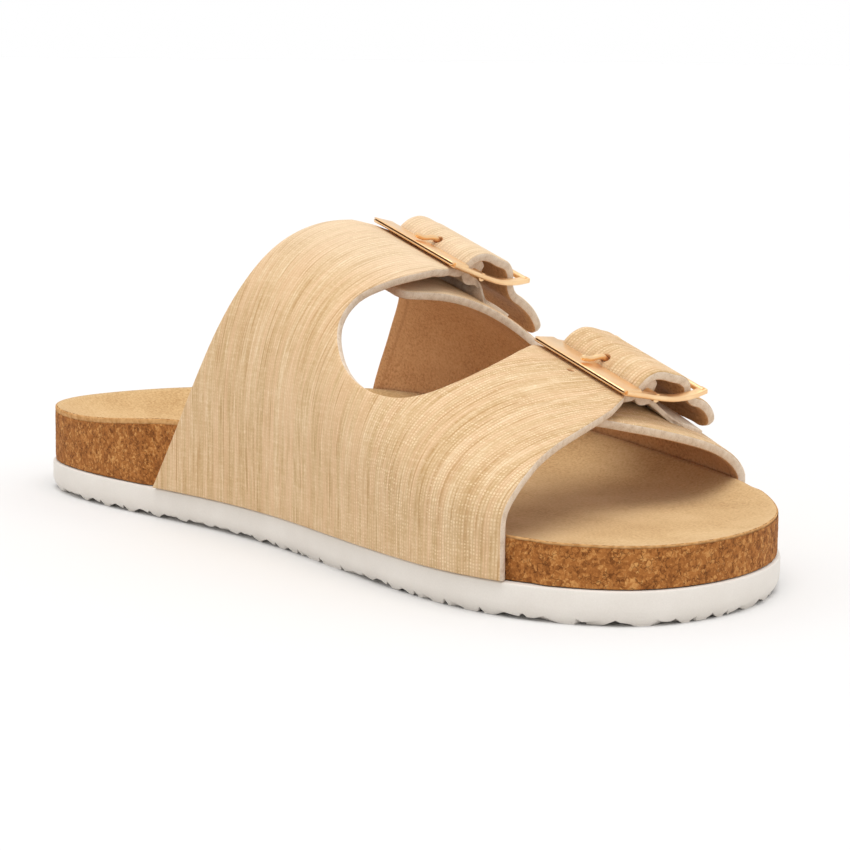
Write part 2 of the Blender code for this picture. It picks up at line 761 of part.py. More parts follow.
def swept(name, rings):
    """Closed solid through rings of points that have the same count."""
    count = len(rings[0])
    verts = [p for ring in rings for p in ring]
    faces = [list(range(count))[::-1], [len(verts) - count + k for k in range(count)]]
    for a in range(len(rings) - 1):
        for k in range(count):
            n = (k + 1) % count
            faces.append([a * count + k, a * count + n, (a + 1) * count + n, (a + 1) * count + k])
    return new_object(name, verts, faces)


def make_loop(buckle):
    """Fold of the tab around the inner bar."""
    sides = 18
    verts = []
    faces = []
    for u in (-LOOP_HALF, LOOP_HALF):
        for radius in (LOOP_OUTER, LOOP_INNER):
            for k in range(sides):
                a = 2 * math.pi * k / sides
                verts.append(buckle.at(u, INNER_BAR_V + radius * math.cos(a),
                                       INNER_BAR_W + radius * math.sin(a)))
    for k in range(sides):
        n = (k + 1) % sides
        lo_out, lo_in, hi_out, hi_in = 0, sides, 2 * sides, 3 * sides
        faces.append([lo_out + k, lo_out + n, hi_out + n, hi_out + k])
        faces.append([lo_in + k, lo_in + n, hi_in + n, hi_in + k])
        faces.append([lo_out + k, lo_out + n, lo_in + n, lo_in + k])
        faces.append([hi_out + k, hi_out + n, hi_in + n, hi_in + k])
    return new_object("loop", verts, faces)


def make_tab(buckle, landing):
    """Strip from the fold down to where it is laid on the outer-side strap."""
    half = LOOP_HALF - 0.4
    raised = 0.7
    grid = []
    for u in np.linspace(-half, half, 7):
        x = buckle.centre[0] + u * buckle.u[0]
        path = [buckle.at(u, INNER_BAR_V + 1.6, INNER_BAR_W - 0.7),
                buckle.at(u, INNER_BAR_V + 3.6, INNER_BAR_W - 2.3)]
        for y in landing:
            lift = np.array((0.0, outer_height(x, y - 0.5) - outer_height(x, y + 0.5), 1.0))
            lift /= np.linalg.norm(lift)
            path.append(np.array((x, y, outer_height(x, y))) + raised * lift)
        grid.append(smooth_path(path, 3))
    grid = np.array(grid)
    along = np.gradient(grid, axis=1)
    across = np.gradient(grid, axis=0)
    normal = np.cross(across, along)
    normal /= np.linalg.norm(normal, axis=2)[:, :, None]
    below = grid - TAB_THICK * normal
    rings = []
    for i in range(grid.shape[0]):
        rings.append(list(grid[i]) + list(below[i][::-1]))
    return swept("tab", rings)


def make_upper(step, tail_step):
    upper = make_inner_piece(step, tail_step)
    for buckle, landing in ((REAR, (25.5, 28.0, 30.5, 33.0)), (FRONT, (29.0, 32.0, 35.0, 38.0))):
        combine(upper, make_loop(buckle), "UNION")
        combine(upper, make_tab(buckle, landing), "UNION")
    combine(upper, make_outer_piece(step), "UNION")
    for buckle in (REAR, FRONT):
        lean = np.array(HOLE_TO) - np.array(HOLE_FROM)
        lean /= np.linalg.norm(lean)
        rings = []
        for v, w in (HOLE_FROM, HOLE_TO):
            ring = []
            for k in range(12):
                a = 2 * math.pi * k / 12
                side = HOLE_RADIUS * math.sin(a)
                ring.append(buckle.at(HOLE_RADIUS * math.cos(a), v + side * lean[1], w - side * lean[0]))
            rings.append(ring)
        combine(upper, swept("hole", rings), "DIFFERENCE")
    upper.name = "upper"
    paint(upper, "upper")
    tidy(upper, 40.0)
    return upper


def bar_between(buckle, u0, u1, v, w, radius, sides):
    rings = []
    for u in (u0, u1):
        rings.append([buckle.at(u, v + radius * math.cos(2 * math.pi * k / sides),
                                w + radius * math.sin(2 * math.pi * k / sides)) for k in range(sides)])
    return swept("bar", rings)


def chamfered(half_a, half_b, cut):
    """Corners of a rectangle with its corners cut."""
    a, b, c = half_a, half_b, cut
    return ((-a + c, -b), (a - c, -b), (a, -b + c), (a, b - c),
            (a - c, b), (-a + c, b), (-a, b - c), (-a, -b + c))


def make_frame(buckle):
    """Plate, two waved rails, far bar and inner bar as one casting."""
    rings = []
    ends = ((-PLATE_HALF, 0.94, 0.8), (-PLATE_HALF + 0.5, 1.0, 1.0),
            (PLATE_HALF - 0.5, 1.0, 1.0), (PLATE_HALF, 0.94, 0.8))
    for u, across, thick in ends:
        ring = []
        for a, b in chamfered(PLATE_WIDE / 2, PLATE_THICK / 2, 0.3):
            ring.append(buckle.at(u, PLATE_WIDE / 2 + a * across, b * thick - PLATE_THICK / 2))
        rings.append(ring)
    frame = swept("frame", rings)
    path = smooth_path(RAIL_PATH, 3)
    along = np.gradient(path, axis=0)
    along /= np.linalg.norm(along, axis=1)[:, None]
    for side in (-1, 1):
        mid = side * (RAIL_OUT - RAIL_WIDE / 2)
        rings = []
        for (v, w), (dv, dw) in zip(path, along):
            ring = []
            for a, b in chamfered(RAIL_WIDE / 2, RAIL_THICK / 2, 0.3):
                down = b - RAIL_THICK / 2
                ring.append(buckle.at(mid + a, v - down * dw, w + down * dv))
            rings.append(ring)
        combine(frame, swept("rail", rings), "UNION")
    far_w = float(np.interp(FAR_BAR_V, path[:, 0], path[:, 1])) - RAIL_THICK / 2 + 0.05
    reach = RAIL_OUT - 0.7
    combine(frame, bar_between(buckle, -reach, reach, FAR_BAR_V, far_w, 0.8, 10), "UNION")
    bar = bar_between(buckle, -reach, reach, INNER_BAR_V, INNER_BAR_W, INNER_BAR_RADIUS, 12)
    combine(frame, bar, "UNION")
    frame.name = buckle.name + "_buckle_frame"
    paint(frame, "buckle")
    tidy(frame, 30.0)
    return frame


def make_prong(buckle):
    """Pin up through the strap's hole and down on to the plate."""
    path = smooth_path(PRONG_PATH, 2)
    along = np.gradient(path, axis=0)
    along /= np.linalg.norm(along, axis=1)[:, None]
    rings = []
    for k, ((v, w), (dv, dw)) in enumerate(zip(path, along)):
        radius = PRONG_RADIUS * (0.7 if k == len(path) - 1 else 1.0)
        ring = []
        for s in range(8):
            a = 2 * math.pi * (s + 0.5) / 8
            side = radius * math.sin(a)
            ring.append(buckle.at(radius * math.cos(a), v - side * dw, w + side * dv))
        rings.append(ring)
    prong = swept(buckle.name + "_buckle_prong", rings)
    paint(prong, "buckle")
    tidy(prong, 40.0)
    return prong


# Build every piece, then stand the whole shoe on the middle of its own footprint
pieces = [make_outsole()]
grid = footbed_grid(28, 9)
pieces.append(slab("cork_footbed", grid, lambda x, y: insole_top(x, y) - INSOLE_THICK - GAP,
                   lambda x, y: SOLE_THICK + GAP, "cork_footbed"))
pieces.append(slab("insole", grid, insole_top, lambda x, y: insole_top(x, y) - INSOLE_THICK, "insole"))
tidy(pieces[1], 40.0)
tidy(pieces[2], 40.0)
pieces.append(make_upper(4.8, 1.7))
for buckle in (REAR, FRONT):
    pieces.append(make_frame(buckle))
    pieces.append(make_prong(buckle))

lows = np.array([np.min([v.co for v in piece.data.vertices], axis=0) for piece in pieces]).min(axis=0)
highs = np.array([np.max([v.co for v in piece.data.vertices], axis=0) for piece in pieces]).max(axis=0)
middle = (lows + highs) / 2
for piece in pieces:
    for vert in piece.data.vertices:
        vert.co = Vector(((vert.co.x - middle[0]) * METRE, (vert.co.y - middle[1]) * METRE,
                          (vert.co.z - lows[2]) * METRE))
    piece.data.update()
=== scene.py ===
import math

import bmesh
import bpy
import numpy as np
from mathutils import Matrix, Vector, noise
from mathutils.geometry import delaunay_2d_cdt


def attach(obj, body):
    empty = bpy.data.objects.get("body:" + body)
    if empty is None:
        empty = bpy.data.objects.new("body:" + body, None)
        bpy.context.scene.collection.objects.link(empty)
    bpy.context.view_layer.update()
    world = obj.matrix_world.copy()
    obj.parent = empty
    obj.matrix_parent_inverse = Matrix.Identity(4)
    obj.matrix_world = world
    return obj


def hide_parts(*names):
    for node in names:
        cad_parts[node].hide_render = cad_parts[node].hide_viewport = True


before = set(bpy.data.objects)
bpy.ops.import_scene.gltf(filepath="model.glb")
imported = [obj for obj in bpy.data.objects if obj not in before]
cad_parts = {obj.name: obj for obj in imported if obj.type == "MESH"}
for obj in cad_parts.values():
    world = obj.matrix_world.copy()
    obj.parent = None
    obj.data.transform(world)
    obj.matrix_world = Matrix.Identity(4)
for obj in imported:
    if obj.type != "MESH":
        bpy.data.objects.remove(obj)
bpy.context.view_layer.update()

# Sizes in millimetres: x runs from the heel to the toe, y to the outer side, z up
ORIGIN = np.array((125.0, 3.68818855, 0.0))
LENGTH = 250.0
BALL_WIDTH = 98.6
INSTEP = 78.8
HEEL_HEIGHT = 22.3
GAP = 0.3
SOLE_THICK = 7.8
LUG_PITCH_X = 11.1
LUG_PITCH_Y = 10.5
LUG_DEPTH = 1.5
SOLE_EDGE_BEVEL = 1.4
CORK_INSET_BARE = 0.7
CORK_INSET_UNDER_UPPER = 1.7
INSOLE_THICK = 1.0
WALL = 2.4
WALL_PROUD = 1.2
INNER_POWER = 2.5
CUT_EDGE = 0.5
CUT_BULGE = 0.12
HOLE_EDGE = 0.3
HOLE_SIDES = 20
MM_TO_CM = 0.1
CORK_ROWS = 16
CORK_ROUGH = ((0.10, 0.75), (0.07, 1.7))
TOE_FROM = 120.0
TOE_RUN = 60.0

# Stations between which the upper covers the cork's inner and outer side
COVERED_INNER = (66.0, 231.0)
COVERED_OUTER = (61.0, 215.0)
COVER_EASE = 5.0

# Outline of the sole: shares of the length and of the ball width
OUTLINE = (
    (0.012, 0.133, 0.202),
    (0.048, 0.247, 0.306),
    (0.120, 0.317, 0.380),
    (0.240, 0.333, 0.415),
    (0.380, 0.319, 0.445),
    (0.520, 0.347, 0.483),
    (0.640, 0.405, 0.520),
    (0.740, 0.449, 0.540),
    (0.820, 0.466, 0.498),
    (0.888, 0.444, 0.402),
    (0.944, 0.383, 0.272),
    (0.984, 0.285, 0.099),
)
HEEL_TIP = 0.054
TOE_TIP = -0.129

FOOTBED_COLUMNS = ("station", "inner_rim", "outer_rim", "floor", "dish")
FOOTBED = (
    (0.00, 1.0435, 1.0435, 16.6, 20.0),
    (0.15, 1.0405, 1.1690, 16.3, 20.0),
    (0.31, 1.1890, 1.3180, 17.2, 20.0),
    (0.46, 1.2265, 1.2800, 18.2, 24.0),
    (0.60, 1.0770, 1.1450, 17.6, 24.0),
    (0.74, 0.8830, 0.9350, 15.4, 18.0),
    (0.88, 0.8030, 0.8220, 15.6, 14.0),
    (1.00, 0.7840, 0.7840, 16.2, 10.0),
)

SECTION_COLUMNS = ("station", "inner_crown", "inner_spring", "outer_crown", "outer_spring", "outer_power")
SECTIONS = (
    (0.272, 1.0990, 24.8, 1.0257, 23.2, 2.40),
    (0.420, 1.0000, 26.4, 0.9178, 24.6, 2.40),
    (0.448, 0.9812, 26.4, 0.8930, 25.0, 2.40),
    (0.570, 0.8555, 24.8, 0.7790, 24.2, 2.10),
    (0.640, 0.7595, 23.4, 0.6920, 22.8, 2.00),
    (0.700, 0.6654, 21.4, 0.6130, 21.6, 1.90),
    (0.760, 0.5922, 20.0, 0.5470, 20.2, 1.80),
    (0.812, 0.5278, 18.8, 0.4830, 19.2, 1.70),
    (0.900, 0.4457, 18.4, 0.4100, 18.4, 1.70),
)
INNER_CROWN_Y = 6.0
OUTER_CROWN_Y = -8.0
OUTER_FLAP_END_Y = -5.0

# Edges of the two cloth pieces: girth up from the sole and station along the shoe
INNER_REAR_EDGE = (
    (0.0, 73.0), (20.0, 85.0), (38.6, 95.0), (56.5, 102.2), (75.0, 106.0), (85.0, 107.2),
    (92.0, 108.4), (97.2, 109.0), (99.0, 109.6), (100.2, 110.3), (101.1, 110.8),
)
INNER_KEYHOLE_REAR = (
    (95.9, 137.0), (95.2, 137.5), (94.0, 138.3), (92.2, 139.2), (88.5, 140.7), (80.0, 142.4),
    (69.0, 142.3), (59.0, 141.2), (50.2, 143.2), (42.0, 150.6), (37.6, 159.2),
)
INNER_KEYHOLE_FRONT = (
    (36.0, 168.0), (37.3, 176.0), (41.2, 180.4), (47.5, 182.2), (55.2, 182.0), (64.7, 180.0),
    (74.5, 176.8), (80.0, 174.4), (82.2, 173.6), (84.0, 174.0), (85.2, 174.8), (86.1, 175.3),
)
INNER_FRONT_EDGE = (
    (80.1, 201.5), (79.4, 202.1), (78.2, 203.1), (76.4, 204.0), (72.4, 205.6), (67.5, 207.4),
    (60.0, 210.2), (51.0, 213.1), (41.7, 215.6), (33.0, 217.9), (27.0, 219.6), (20.0, 220.9),
    (12.6, 220.9), (0.0, 221.0),
)
OUTER_REAR_EDGE = (
    (0.0, 68.0), (21.0, 72.0), (38.0, 81.0), (55.0, 93.5), (72.0, 101.5), (86.0, 104.5),
)
OUTER_KEYHOLE_REAR = (
    (84.0, 139.5), (70.0, 138.6), (55.0, 139.2), (43.0, 142.0), (36.0, 148.5),
)
OUTER_KEYHOLE_FRONT = (
    (32.0, 160.0), (34.5, 170.5), (40.5, 176.0), (50.0, 177.4), (62.0, 176.0), (72.0, 174.4),
)
OUTER_FRONT_EDGE = (
    (64.0, 203.2), (55.0, 205.2), (38.0, 206.4), (26.0, 204.6), (14.0, 202.4), (0.0, 202.0),
)
STRAP_ROOTS = {"front": (82.2, 88.4), "rear": (98.2, 103.6)}
OUTER_FLAPS = ((202.0, 174.0), (139.5, 105.0))
TAIL_CORNER = 5.0
FLAP_CORNER = 4.0
BETWEEN_BUCKLES_X = 159.0

# Spacing of the cloth's points, closer above a girth on each strap
GIRTH_STEP = 0.5
CUT_STEP = 1.7
TAIL_STEP = 0.9
CLOTH_STEPS = (2.4, 2.1)
CLOTH_MARGIN = 1.3
FINE_GIRTH = {"rear": 96.0, "front": 80.0}
FINE_STEP = 0.85

# Buckles: name, x and z of the plate's rear end and front end, y of its near edge, roll in degrees
BUCKLES = (
    ("rear", 108.5, 78.6, 139.3, 69.0, 11.0, 12.5),
    ("front", 172.7, 53.8, 203.8, 43.7, 8.0, 4.5),
)
PLATE_WIDE = 6.4
PLATE_THICK = 1.2
PLATE_HALF = 16.1
PLATE_LEAD = 7.0
PLATE_ENDS = ((0.0, 0.92, 0.5), (0.2, 0.97, 0.86), (0.6, 1.0, 1.0))
RAIL_OUT = 16.6
RAIL_WIDE = 2.2
RAIL_THICK = 1.3
RAIL_PATH = (
    (1.2, -0.15), (3.5, -0.40), (7.5, -0.80), (13.0, -1.40), (18.5, -1.65), (23.8, -0.95),
    (27.9, 0.40),
)
FAR_BAR_V = 27.3
FAR_BAR_RADIUS = 0.8
INNER_BAR_V = 12.2
INNER_BAR_W = -2.2
INNER_BAR_RADIUS = 1.1
LOOP_OUTER = 3.6
LOOP_HALF = 12.6
TAB_LIFT = 0.7
TAB_OVER = 0.25
TAB_UNDER = 1.15
TAB_SOFT_EDGE = 0.3
TAB_LANDINGS = {"rear": (25.5, 28.0, 30.5, 33.0), "front": (29.0, 32.0, 35.0, 38.0)}
STRAP_HALF = 13.6
STRAP_PATH = (
    (0.0, -1.90), (3.5, -1.95), (6.3, -1.75), (7.7, 0.50), (9.4, 2.30), (12.2, 3.60), (15.2, 3.65),
    (18.4, 3.05),
)
STRAP_TAILS = {
    "rear": ((22.0, 2.50), (24.7, 0.35), (26.2, -2.70), (28.4, -4.70), (32.0, -5.80),
             (37.0, -7.90), (41.4, -11.10), (44.4, -14.20)),
    "front": ((22.0, 2.40), (24.7, 0.90), (26.2, -1.45), (28.4, -3.00), (31.2, -3.60),
              (35.0, -5.60), (37.8, -8.70), (39.0, -12.40)),
}
PRONG_RADIUS = 0.7
PRONG_TIP = (0.85, 0.55)
PRONG_PATH = (
    (11.2, -0.78), (9.6, 0.26), (8.3, 1.10), (7.3, 1.55), (5.9, 1.45), (3.8, 1.00), (2.2, 1.05),
    (0.5, 1.40),
)
PIN_HOLE_AT = (8.4, 1.25)
PIN_HOLE_RADIUS = 1.15
SPARE_HOLE_AT = (-1.9, -1.6)
SPARE_HOLE_RADIUS = 0.75
# painted shade: plate faces within these bounds, in the recess along the near edge, take a darker, duller
# copy of the plating
RECESS_V = (0.02, 0.9)
RECESS_W = (-0.69, -0.26)


def between(a, b, start, stop, t):
    """Value at t on the line from a at start to b at stop."""
    return ((stop - t) * a + (t - start) * b) / (stop - start)


def smooth_path(points, per_span):
    """Points of a centripetal curve that passes through every given point."""
    pts = np.array(points, dtype=float)
    pts = np.concatenate([[2 * pts[0] - pts[1]], pts, [2 * pts[-1] - pts[-2]]])
    out = []
    for i in range(1, len(pts) - 2):
        p0, p1, p2, p3 = pts[i - 1:i + 3]
        gaps = np.linalg.norm(np.diff(pts[i - 1:i + 3], axis=0), axis=1)
        t0, t1, t2, t3 = np.concatenate([[0.0], np.cumsum(np.maximum(gaps, 1e-6) ** 0.5)])
        for t in np.linspace(t1, t2, per_span, endpoint=False):
            a1 = between(p0, p1, t0, t1, t)
            a2 = between(p1, p2, t1, t2, t)
            a3 = between(p2, p3, t2, t3, t)
            b1 = between(a1, a2, t0, t2, t)
            b2 = between(a2, a3, t1, t3, t)
            out.append(between(b1, b2, t1, t2, t))
    out.append(pts[-2])
    return np.array(out)


def run_length(path):
    """Length along a path up to each of its points."""
    return np.concatenate([[0.0], np.cumsum(np.linalg.norm(np.diff(path, axis=0), axis=1))])


def unit(vectors):
    """The vectors made one long."""
    return vectors / np.linalg.norm(vectors, axis=-1, keepdims=True)


def tangents(path):
    """Directions along a path."""
    return unit(np.gradient(path, axis=0))


def nearest(path, point):
    """Distance from a point to the nearest point of a path."""
    return np.min(np.hypot(*(path - point).T))


def circle(count):
    """Points once round a circle of radius 1."""
    turn = np.linspace(0.0, 2 * math.pi, count, endpoint=False)
    return np.column_stack([np.cos(turn), np.sin(turn)])


def closed_spline(points, count):
    """Smooth closed curve through the points, by a periodic cubic in chord length."""
    p = np.array(points, dtype=float)
    step = np.roll(p, -1, axis=0) - p
    h = np.linalg.norm(step, axis=1)
    before = np.roll(h, 1)
    a = np.diag(2 * (before + h)) + np.roll(np.diag(h), 1, axis=1) + np.roll(np.diag(before), -1, axis=1)
    slope = step / h[:, None]
    m = np.linalg.solve(a, 6 * (slope - np.roll(slope, 1, axis=0)))
    knots = np.concatenate([[0.0], np.cumsum(h)])
    s = np.linspace(0.0, knots[-1], count, endpoint=False)
    i = np.searchsorted(knots, s, side="right") - 1
    k = (i + 1) % len(p)
    w = h[i][:, None]
    t = (s - knots[i])[:, None] / w
    r = 1 - t
    return p[i] * r + p[k] * t + ((r ** 3 - r) * m[i] + (t ** 3 - t) * m[k]) * w ** 2 / 6


def table_value(table, column, columns, station):
    """Smooth values of one column of a table at shares of the length."""
    xs = np.array([row[0] for row in table])
    ys = np.array([row[columns.index(column)] for row in table])
    slopes = np.gradient(ys, xs)
    s = np.clip(station, xs[0], xs[-1])
    i = np.clip(np.searchsorted(xs, s) - 1, 0, len(xs) - 2)
    h = xs[i + 1] - xs[i]
    t = (s - xs[i]) / h
    return ((1 + 2 * t) * (1 - t) ** 2 * ys[i] + t * (1 - t) ** 2 * h * slopes[i]
            + t * t * (3 - 2 * t) * ys[i + 1] + t * t * (t - 1) * h * slopes[i + 1])


def sole_outline(count):
    """Closed outline of the outsole, from the heel along the inner side to the toe and back."""
    inner = [(s * LENGTH, -width * BALL_WIDTH) for s, width, _ in OUTLINE]
    outer = [(s * LENGTH, width * BALL_WIDTH) for s, _, width in OUTLINE]
    ring = [(0.0, HEEL_TIP * BALL_WIDTH)] + inner + [(LENGTH, TOE_TIP * BALL_WIDTH)] + outer[::-1]
    out = closed_spline(ring, count)
    out[:, 0] -= out[:, 0].min()
    out[:, 0] *= LENGTH / out[:, 0].max()
    return out


def outward(ring):
    """Directions out of a closed ring that has its inside to the left."""
    along = unit(np.roll(ring, -1, axis=0) - np.roll(ring, 1, axis=0))
    return np.stack([along[:, 1], -along[:, 0]], axis=1)


def inward(ring, amounts):
    """The ring moved inward by an amount at each point."""
    return ring - outward(ring) * np.broadcast_to(amounts, len(ring))[:, None]


def side_chains(ring):
    """Inner and outer chains of a ring, each from heel to toe."""
    rolled = np.roll(ring, -ring[:, 0].argmin(), axis=0)
    toe = rolled[:, 0].argmax()
    return rolled[:toe + 1], np.concatenate([rolled[toe:], rolled[:1]])[::-1]


RING = sole_outline(720)
INNER_SIDE, OUTER_SIDE = side_chains(RING)


def inner_width(x):
    return -np.interp(x, INNER_SIDE[:, 0], INNER_SIDE[:, 1])


def outer_width(x):
    return np.interp(x, OUTER_SIDE[:, 0], OUTER_SIDE[:, 1])


def ease(t):
    t = np.clip(t, 0.0, 1.0)
    return t * t * (3 - 2 * t)


def cork_inset(ring):
    """The cork stands back a little more where the upper passes down its side."""
    x = ring[:, 0]
    start = np.where(ring[:, 1] < 0, COVERED_INNER[0], COVERED_OUTER[0])
    stop = np.where(ring[:, 1] < 0, COVERED_INNER[1], COVERED_OUTER[1])
    covered = ease((x - start) / COVER_EASE) * ease((stop - x) / COVER_EASE)
    return CORK_INSET_BARE + (CORK_INSET_UNDER_UPPER - CORK_INSET_BARE) * covered


CORK_RING = inward(RING, cork_inset(RING))


def insole_top(points):
    """Heights of the dished footbed's covered top."""
    x = points[:, 0]
    width_in = inner_width(x)
    across = (points[:, 1] + width_in) / np.maximum(width_in + outer_width(x), 1e-6)
    rim_in, rim_out, floor, dish = (table_value(FOOTBED, name, FOOTBED_COLUMNS, x / LENGTH)
                                    for name in FOOTBED_COLUMNS[1:])
    rim = HEEL_HEIGHT * (rim_in + (rim_out - rim_in) * ease(across))
    reach = np.array([nearest(CORK_RING, p) for p in points])
    return floor + (rim - floor) * np.maximum(0.0, 1.0 - reach / dish) ** 2


class Buckle:
    """Local frame of one buckle: u along its plate, v across to the far bar, w up."""

    def __init__(self, name, rear_x, rear_z, front_x, front_z, near_y, roll):
        self.name = name
        run = np.array((front_x - rear_x, 0.0, front_z - rear_z))
        self.centre = np.array(((rear_x + front_x) / 2, near_y, (rear_z + front_z) / 2))
        self.u = unit(run)
        side = np.array((0.0, 1.0, 0.0))
        up = np.cross(self.u, side)
        turn = math.radians(roll)
        self.v = math.cos(turn) * side - math.sin(turn) * up
        self.w = math.cos(turn) * up + math.sin(turn) * side

    def at(self, u, v, w):
        return self.centre + u * self.u + v * self.v + w * self.w


REAR, FRONT = (Buckle(*row) for row in BUCKLES)


def section_value(column, x):
    return float(table_value(SECTIONS, column, SECTION_COLUMNS, x / LENGTH))


def arch(x, side, half, crown_y, power, count):
    """A wall's outer face at one station: up from the sole and over in a round arch to its crown."""
    spring = section_value(side + "_spring", x)
    rise = section_value(side + "_crown", x) * INSTEP - spring
    pts = [(x, half, SOLE_THICK + GAP)]
    for a in np.linspace(0.0, math.pi / 2, count):
        y = crown_y + (half - crown_y) * math.cos(a) ** (2.0 / power)
        pts.append((x, y, spring + rise * math.sin(a) ** (2.0 / power)))
    return pts


def inner_section(x):
    """Outer face of the inner-side piece at one station, from the sole to the strap's tail."""
    buckle = REAR if x < BETWEEN_BUCKLES_X else FRONT
    wall = arch(x, "inner", -inner_width(x) - WALL_PROUD, INNER_CROWN_Y, INNER_POWER, 60)
    pts = [p for p in wall if p[1] <= buckle.centre[1] - PLATE_LEAD]
    u = (x - buckle.centre[0]) / buckle.u[0]
    strap = [pts[-1]] + [buckle.at(u, v, w) for v, w in STRAP_PATH + STRAP_TAILS[buckle.name]]
    return np.concatenate([pts[:-1], smooth_path(strap, 8)])


def outer_section(x):
    """Outer face of the outer-side piece at one station: up the wall and over to the flap's end."""
    wall = arch(x, "outer", outer_width(x) + WALL_PROUD, OUTER_CROWN_Y, section_value("outer_power", x), 90)
    end = next(k for k, p in enumerate(wall) if p[1] < OUTER_FLAP_END_Y)
    return np.array(wall[:end + 1])


class Skin:
    """A wall's outer face on a close grid of stations and girths."""

    def __init__(self, section, first, last, sign):
        self.xs = np.arange(first, last + 0.5, 1.0)
        rows = [section(float(x)) for x in self.xs]
        runs = [run_length(r) for r in rows]
        self.ends = np.array([run[-1] for run in runs])
        self.gs = np.arange(-2.0, self.ends.max() + 3.0, GIRTH_STEP)
        self.grid = np.stack([self.extended(run, r) for run, r in zip(runs, rows)])
        self.normals = unit(np.cross(np.gradient(self.grid, axis=0), np.gradient(self.grid, axis=1)) * sign)

    def extended(self, run, pts):
        out = np.stack([np.interp(self.gs, run, pts[:, c]) for c in range(3)], axis=1)
        first = (pts[1] - pts[0]) / (run[1] - run[0])
        last = (pts[-1] - pts[-2]) / (run[-1] - run[-2])
        out += np.minimum(self.gs, 0.0)[:, None] * first
        out += np.maximum(self.gs - run[-1], 0.0)[:, None] * last
        return out

    def girth(self, x):
        return float(np.interp(x, self.xs, self.ends))

    def at(self, places):
        """Points and normals at rows of station and girth."""
        fx = np.clip(places[:, 0] - self.xs[0], 0.0, len(self.xs) - 1.001)
        fg = np.clip((places[:, 1] - self.gs[0]) / GIRTH_STEP, 0.0, len(self.gs) - 1.001)
        i = fx.astype(int)
        j = fg.astype(int)
        s = (fx - i)[:, None]
        t = (fg - j)[:, None]
        out = []
        for table in (self.grid, self.normals):
            out.append((1 - s) * ((1 - t) * table[i, j] + t * table[i, j + 1])
                       + s * ((1 - t) * table[i + 1, j] + t * table[i + 1, j + 1]))
        return out[0], unit(out[1])


INNER_SKIN = Skin(inner_section, 68.0, 230.0, 1.0)
OUTER_SKIN = Skin(outer_section, 62.0, 214.0, -1.0)


def spaced(path, step):
    """Even steps along a path."""
    path = np.array(path, dtype=float)
    run = run_length(path)
    s = np.linspace(0.0, run[-1], max(1, int(round(run[-1] / step))) + 1)
    return np.stack([np.interp(s, run, path[:, c]) for c in range(2)], axis=1)


def edge_path(rows):
    """Smooth edge through rows of girth and station, as points of station and girth."""
    return smooth_path([(x, g) for g, x in rows], 8)


def rounded_end(skin, right, left, corner):
    """Round a strap's end from one side to the other."""
    path = []
    turns = np.linspace(0.0, math.pi / 2, 9)
    for x, side, order in ((right, -1, turns), (left, 1, turns[::-1])):
        for a in order:
            path.append((x + side * corner * (1 - math.cos(a)), skin.girth(x) - corner * (1 - math.sin(a))))
    return path


def cut_shape(edges, front_end, rear_end, down_rear, end_step):
    """Closed outline of a cloth piece as station and girth, in even steps, once round."""
    rear_edge, keyhole_rear, keyhole_front, front_edge = edges
    base = [(rear_edge[0][1], 0.0), (front_edge[-1][1], 0.0)]
    up_front = list(edge_path(front_edge)[::-1]) + [front_end[0]]
    keyhole = edge_path([front_end[-1][::-1], *keyhole_front[::-1], *keyhole_rear[::-1], rear_end[0][::-1]])
    parts = ((base, CUT_STEP), (up_front, CUT_STEP), (front_end, end_step), (keyhole, CUT_STEP),
             (rear_end, end_step), (down_rear, CUT_STEP))
    return np.concatenate([spaced(path, step)[:-1] for path, step in parts])


def inner_outline():
    """Cut shape of the inner-side piece, with the straps' tails."""
    tails = []
    for buckle in (FRONT, REAR):
        start, stop = STRAP_ROOTS[buckle.name]
        half = STRAP_HALF * buckle.u[0]
        left = buckle.centre[0] - half
        right = buckle.centre[0] + half
        tails.append([(right, start)] + rounded_end(INNER_SKIN, right, left, TAIL_CORNER) + [(left, stop)])
    edges = (INNER_REAR_EDGE, INNER_KEYHOLE_REAR, INNER_KEYHOLE_FRONT, INNER_FRONT_EDGE)
    down_rear = edge_path([tails[1][-1][::-1], *INNER_REAR_EDGE[::-1]])
    return cut_shape(edges, *tails, down_rear, TAIL_STEP)


def outer_outline():
    """Cut shape of the outer-side piece, with the flaps under the buckles."""
    flaps = [rounded_end(OUTER_SKIN, right, left, FLAP_CORNER) for right, left in OUTER_FLAPS]
    edges = (OUTER_REAR_EDGE, OUTER_KEYHOLE_REAR, OUTER_KEYHOLE_FRONT, OUTER_FRONT_EDGE)
    down_rear = [flaps[1][-1], *edge_path(OUTER_REAR_EDGE)[::-1]]
    return cut_shape(edges, *flaps, down_rear, CUT_STEP)


def inside(outline, places, margin):
    """Which places are inside a closed outline and clear of it by a margin."""
    following = np.roll(outline, -1, axis=0)
    kept = []
    for x, y in places:
        crossing = (outline[:, 1] > y) != (following[:, 1] > y)
        ax, ay = outline[crossing].T
        bx, by = following[crossing].T
        odd = np.count_nonzero(x < ax + (y - ay) / (by - ay) * (bx - ax)) % 2
        kept.append(odd == 1 and nearest(outline, (x, y)) > margin)
    return np.array(kept)


def field(outline, step_x, step_y):
    """Even staggered field over an outline's box."""
    lo = outline.min(axis=0)
    hi = outline.max(axis=0)
    places = []
    for row, y in enumerate(np.arange(lo[1] + step_y / 2, hi[1], step_y)):
        places += [(x, y) for x in np.arange(lo[0] + step_x / 2 * (row % 2), hi[0], step_x)]
    return np.array(places)


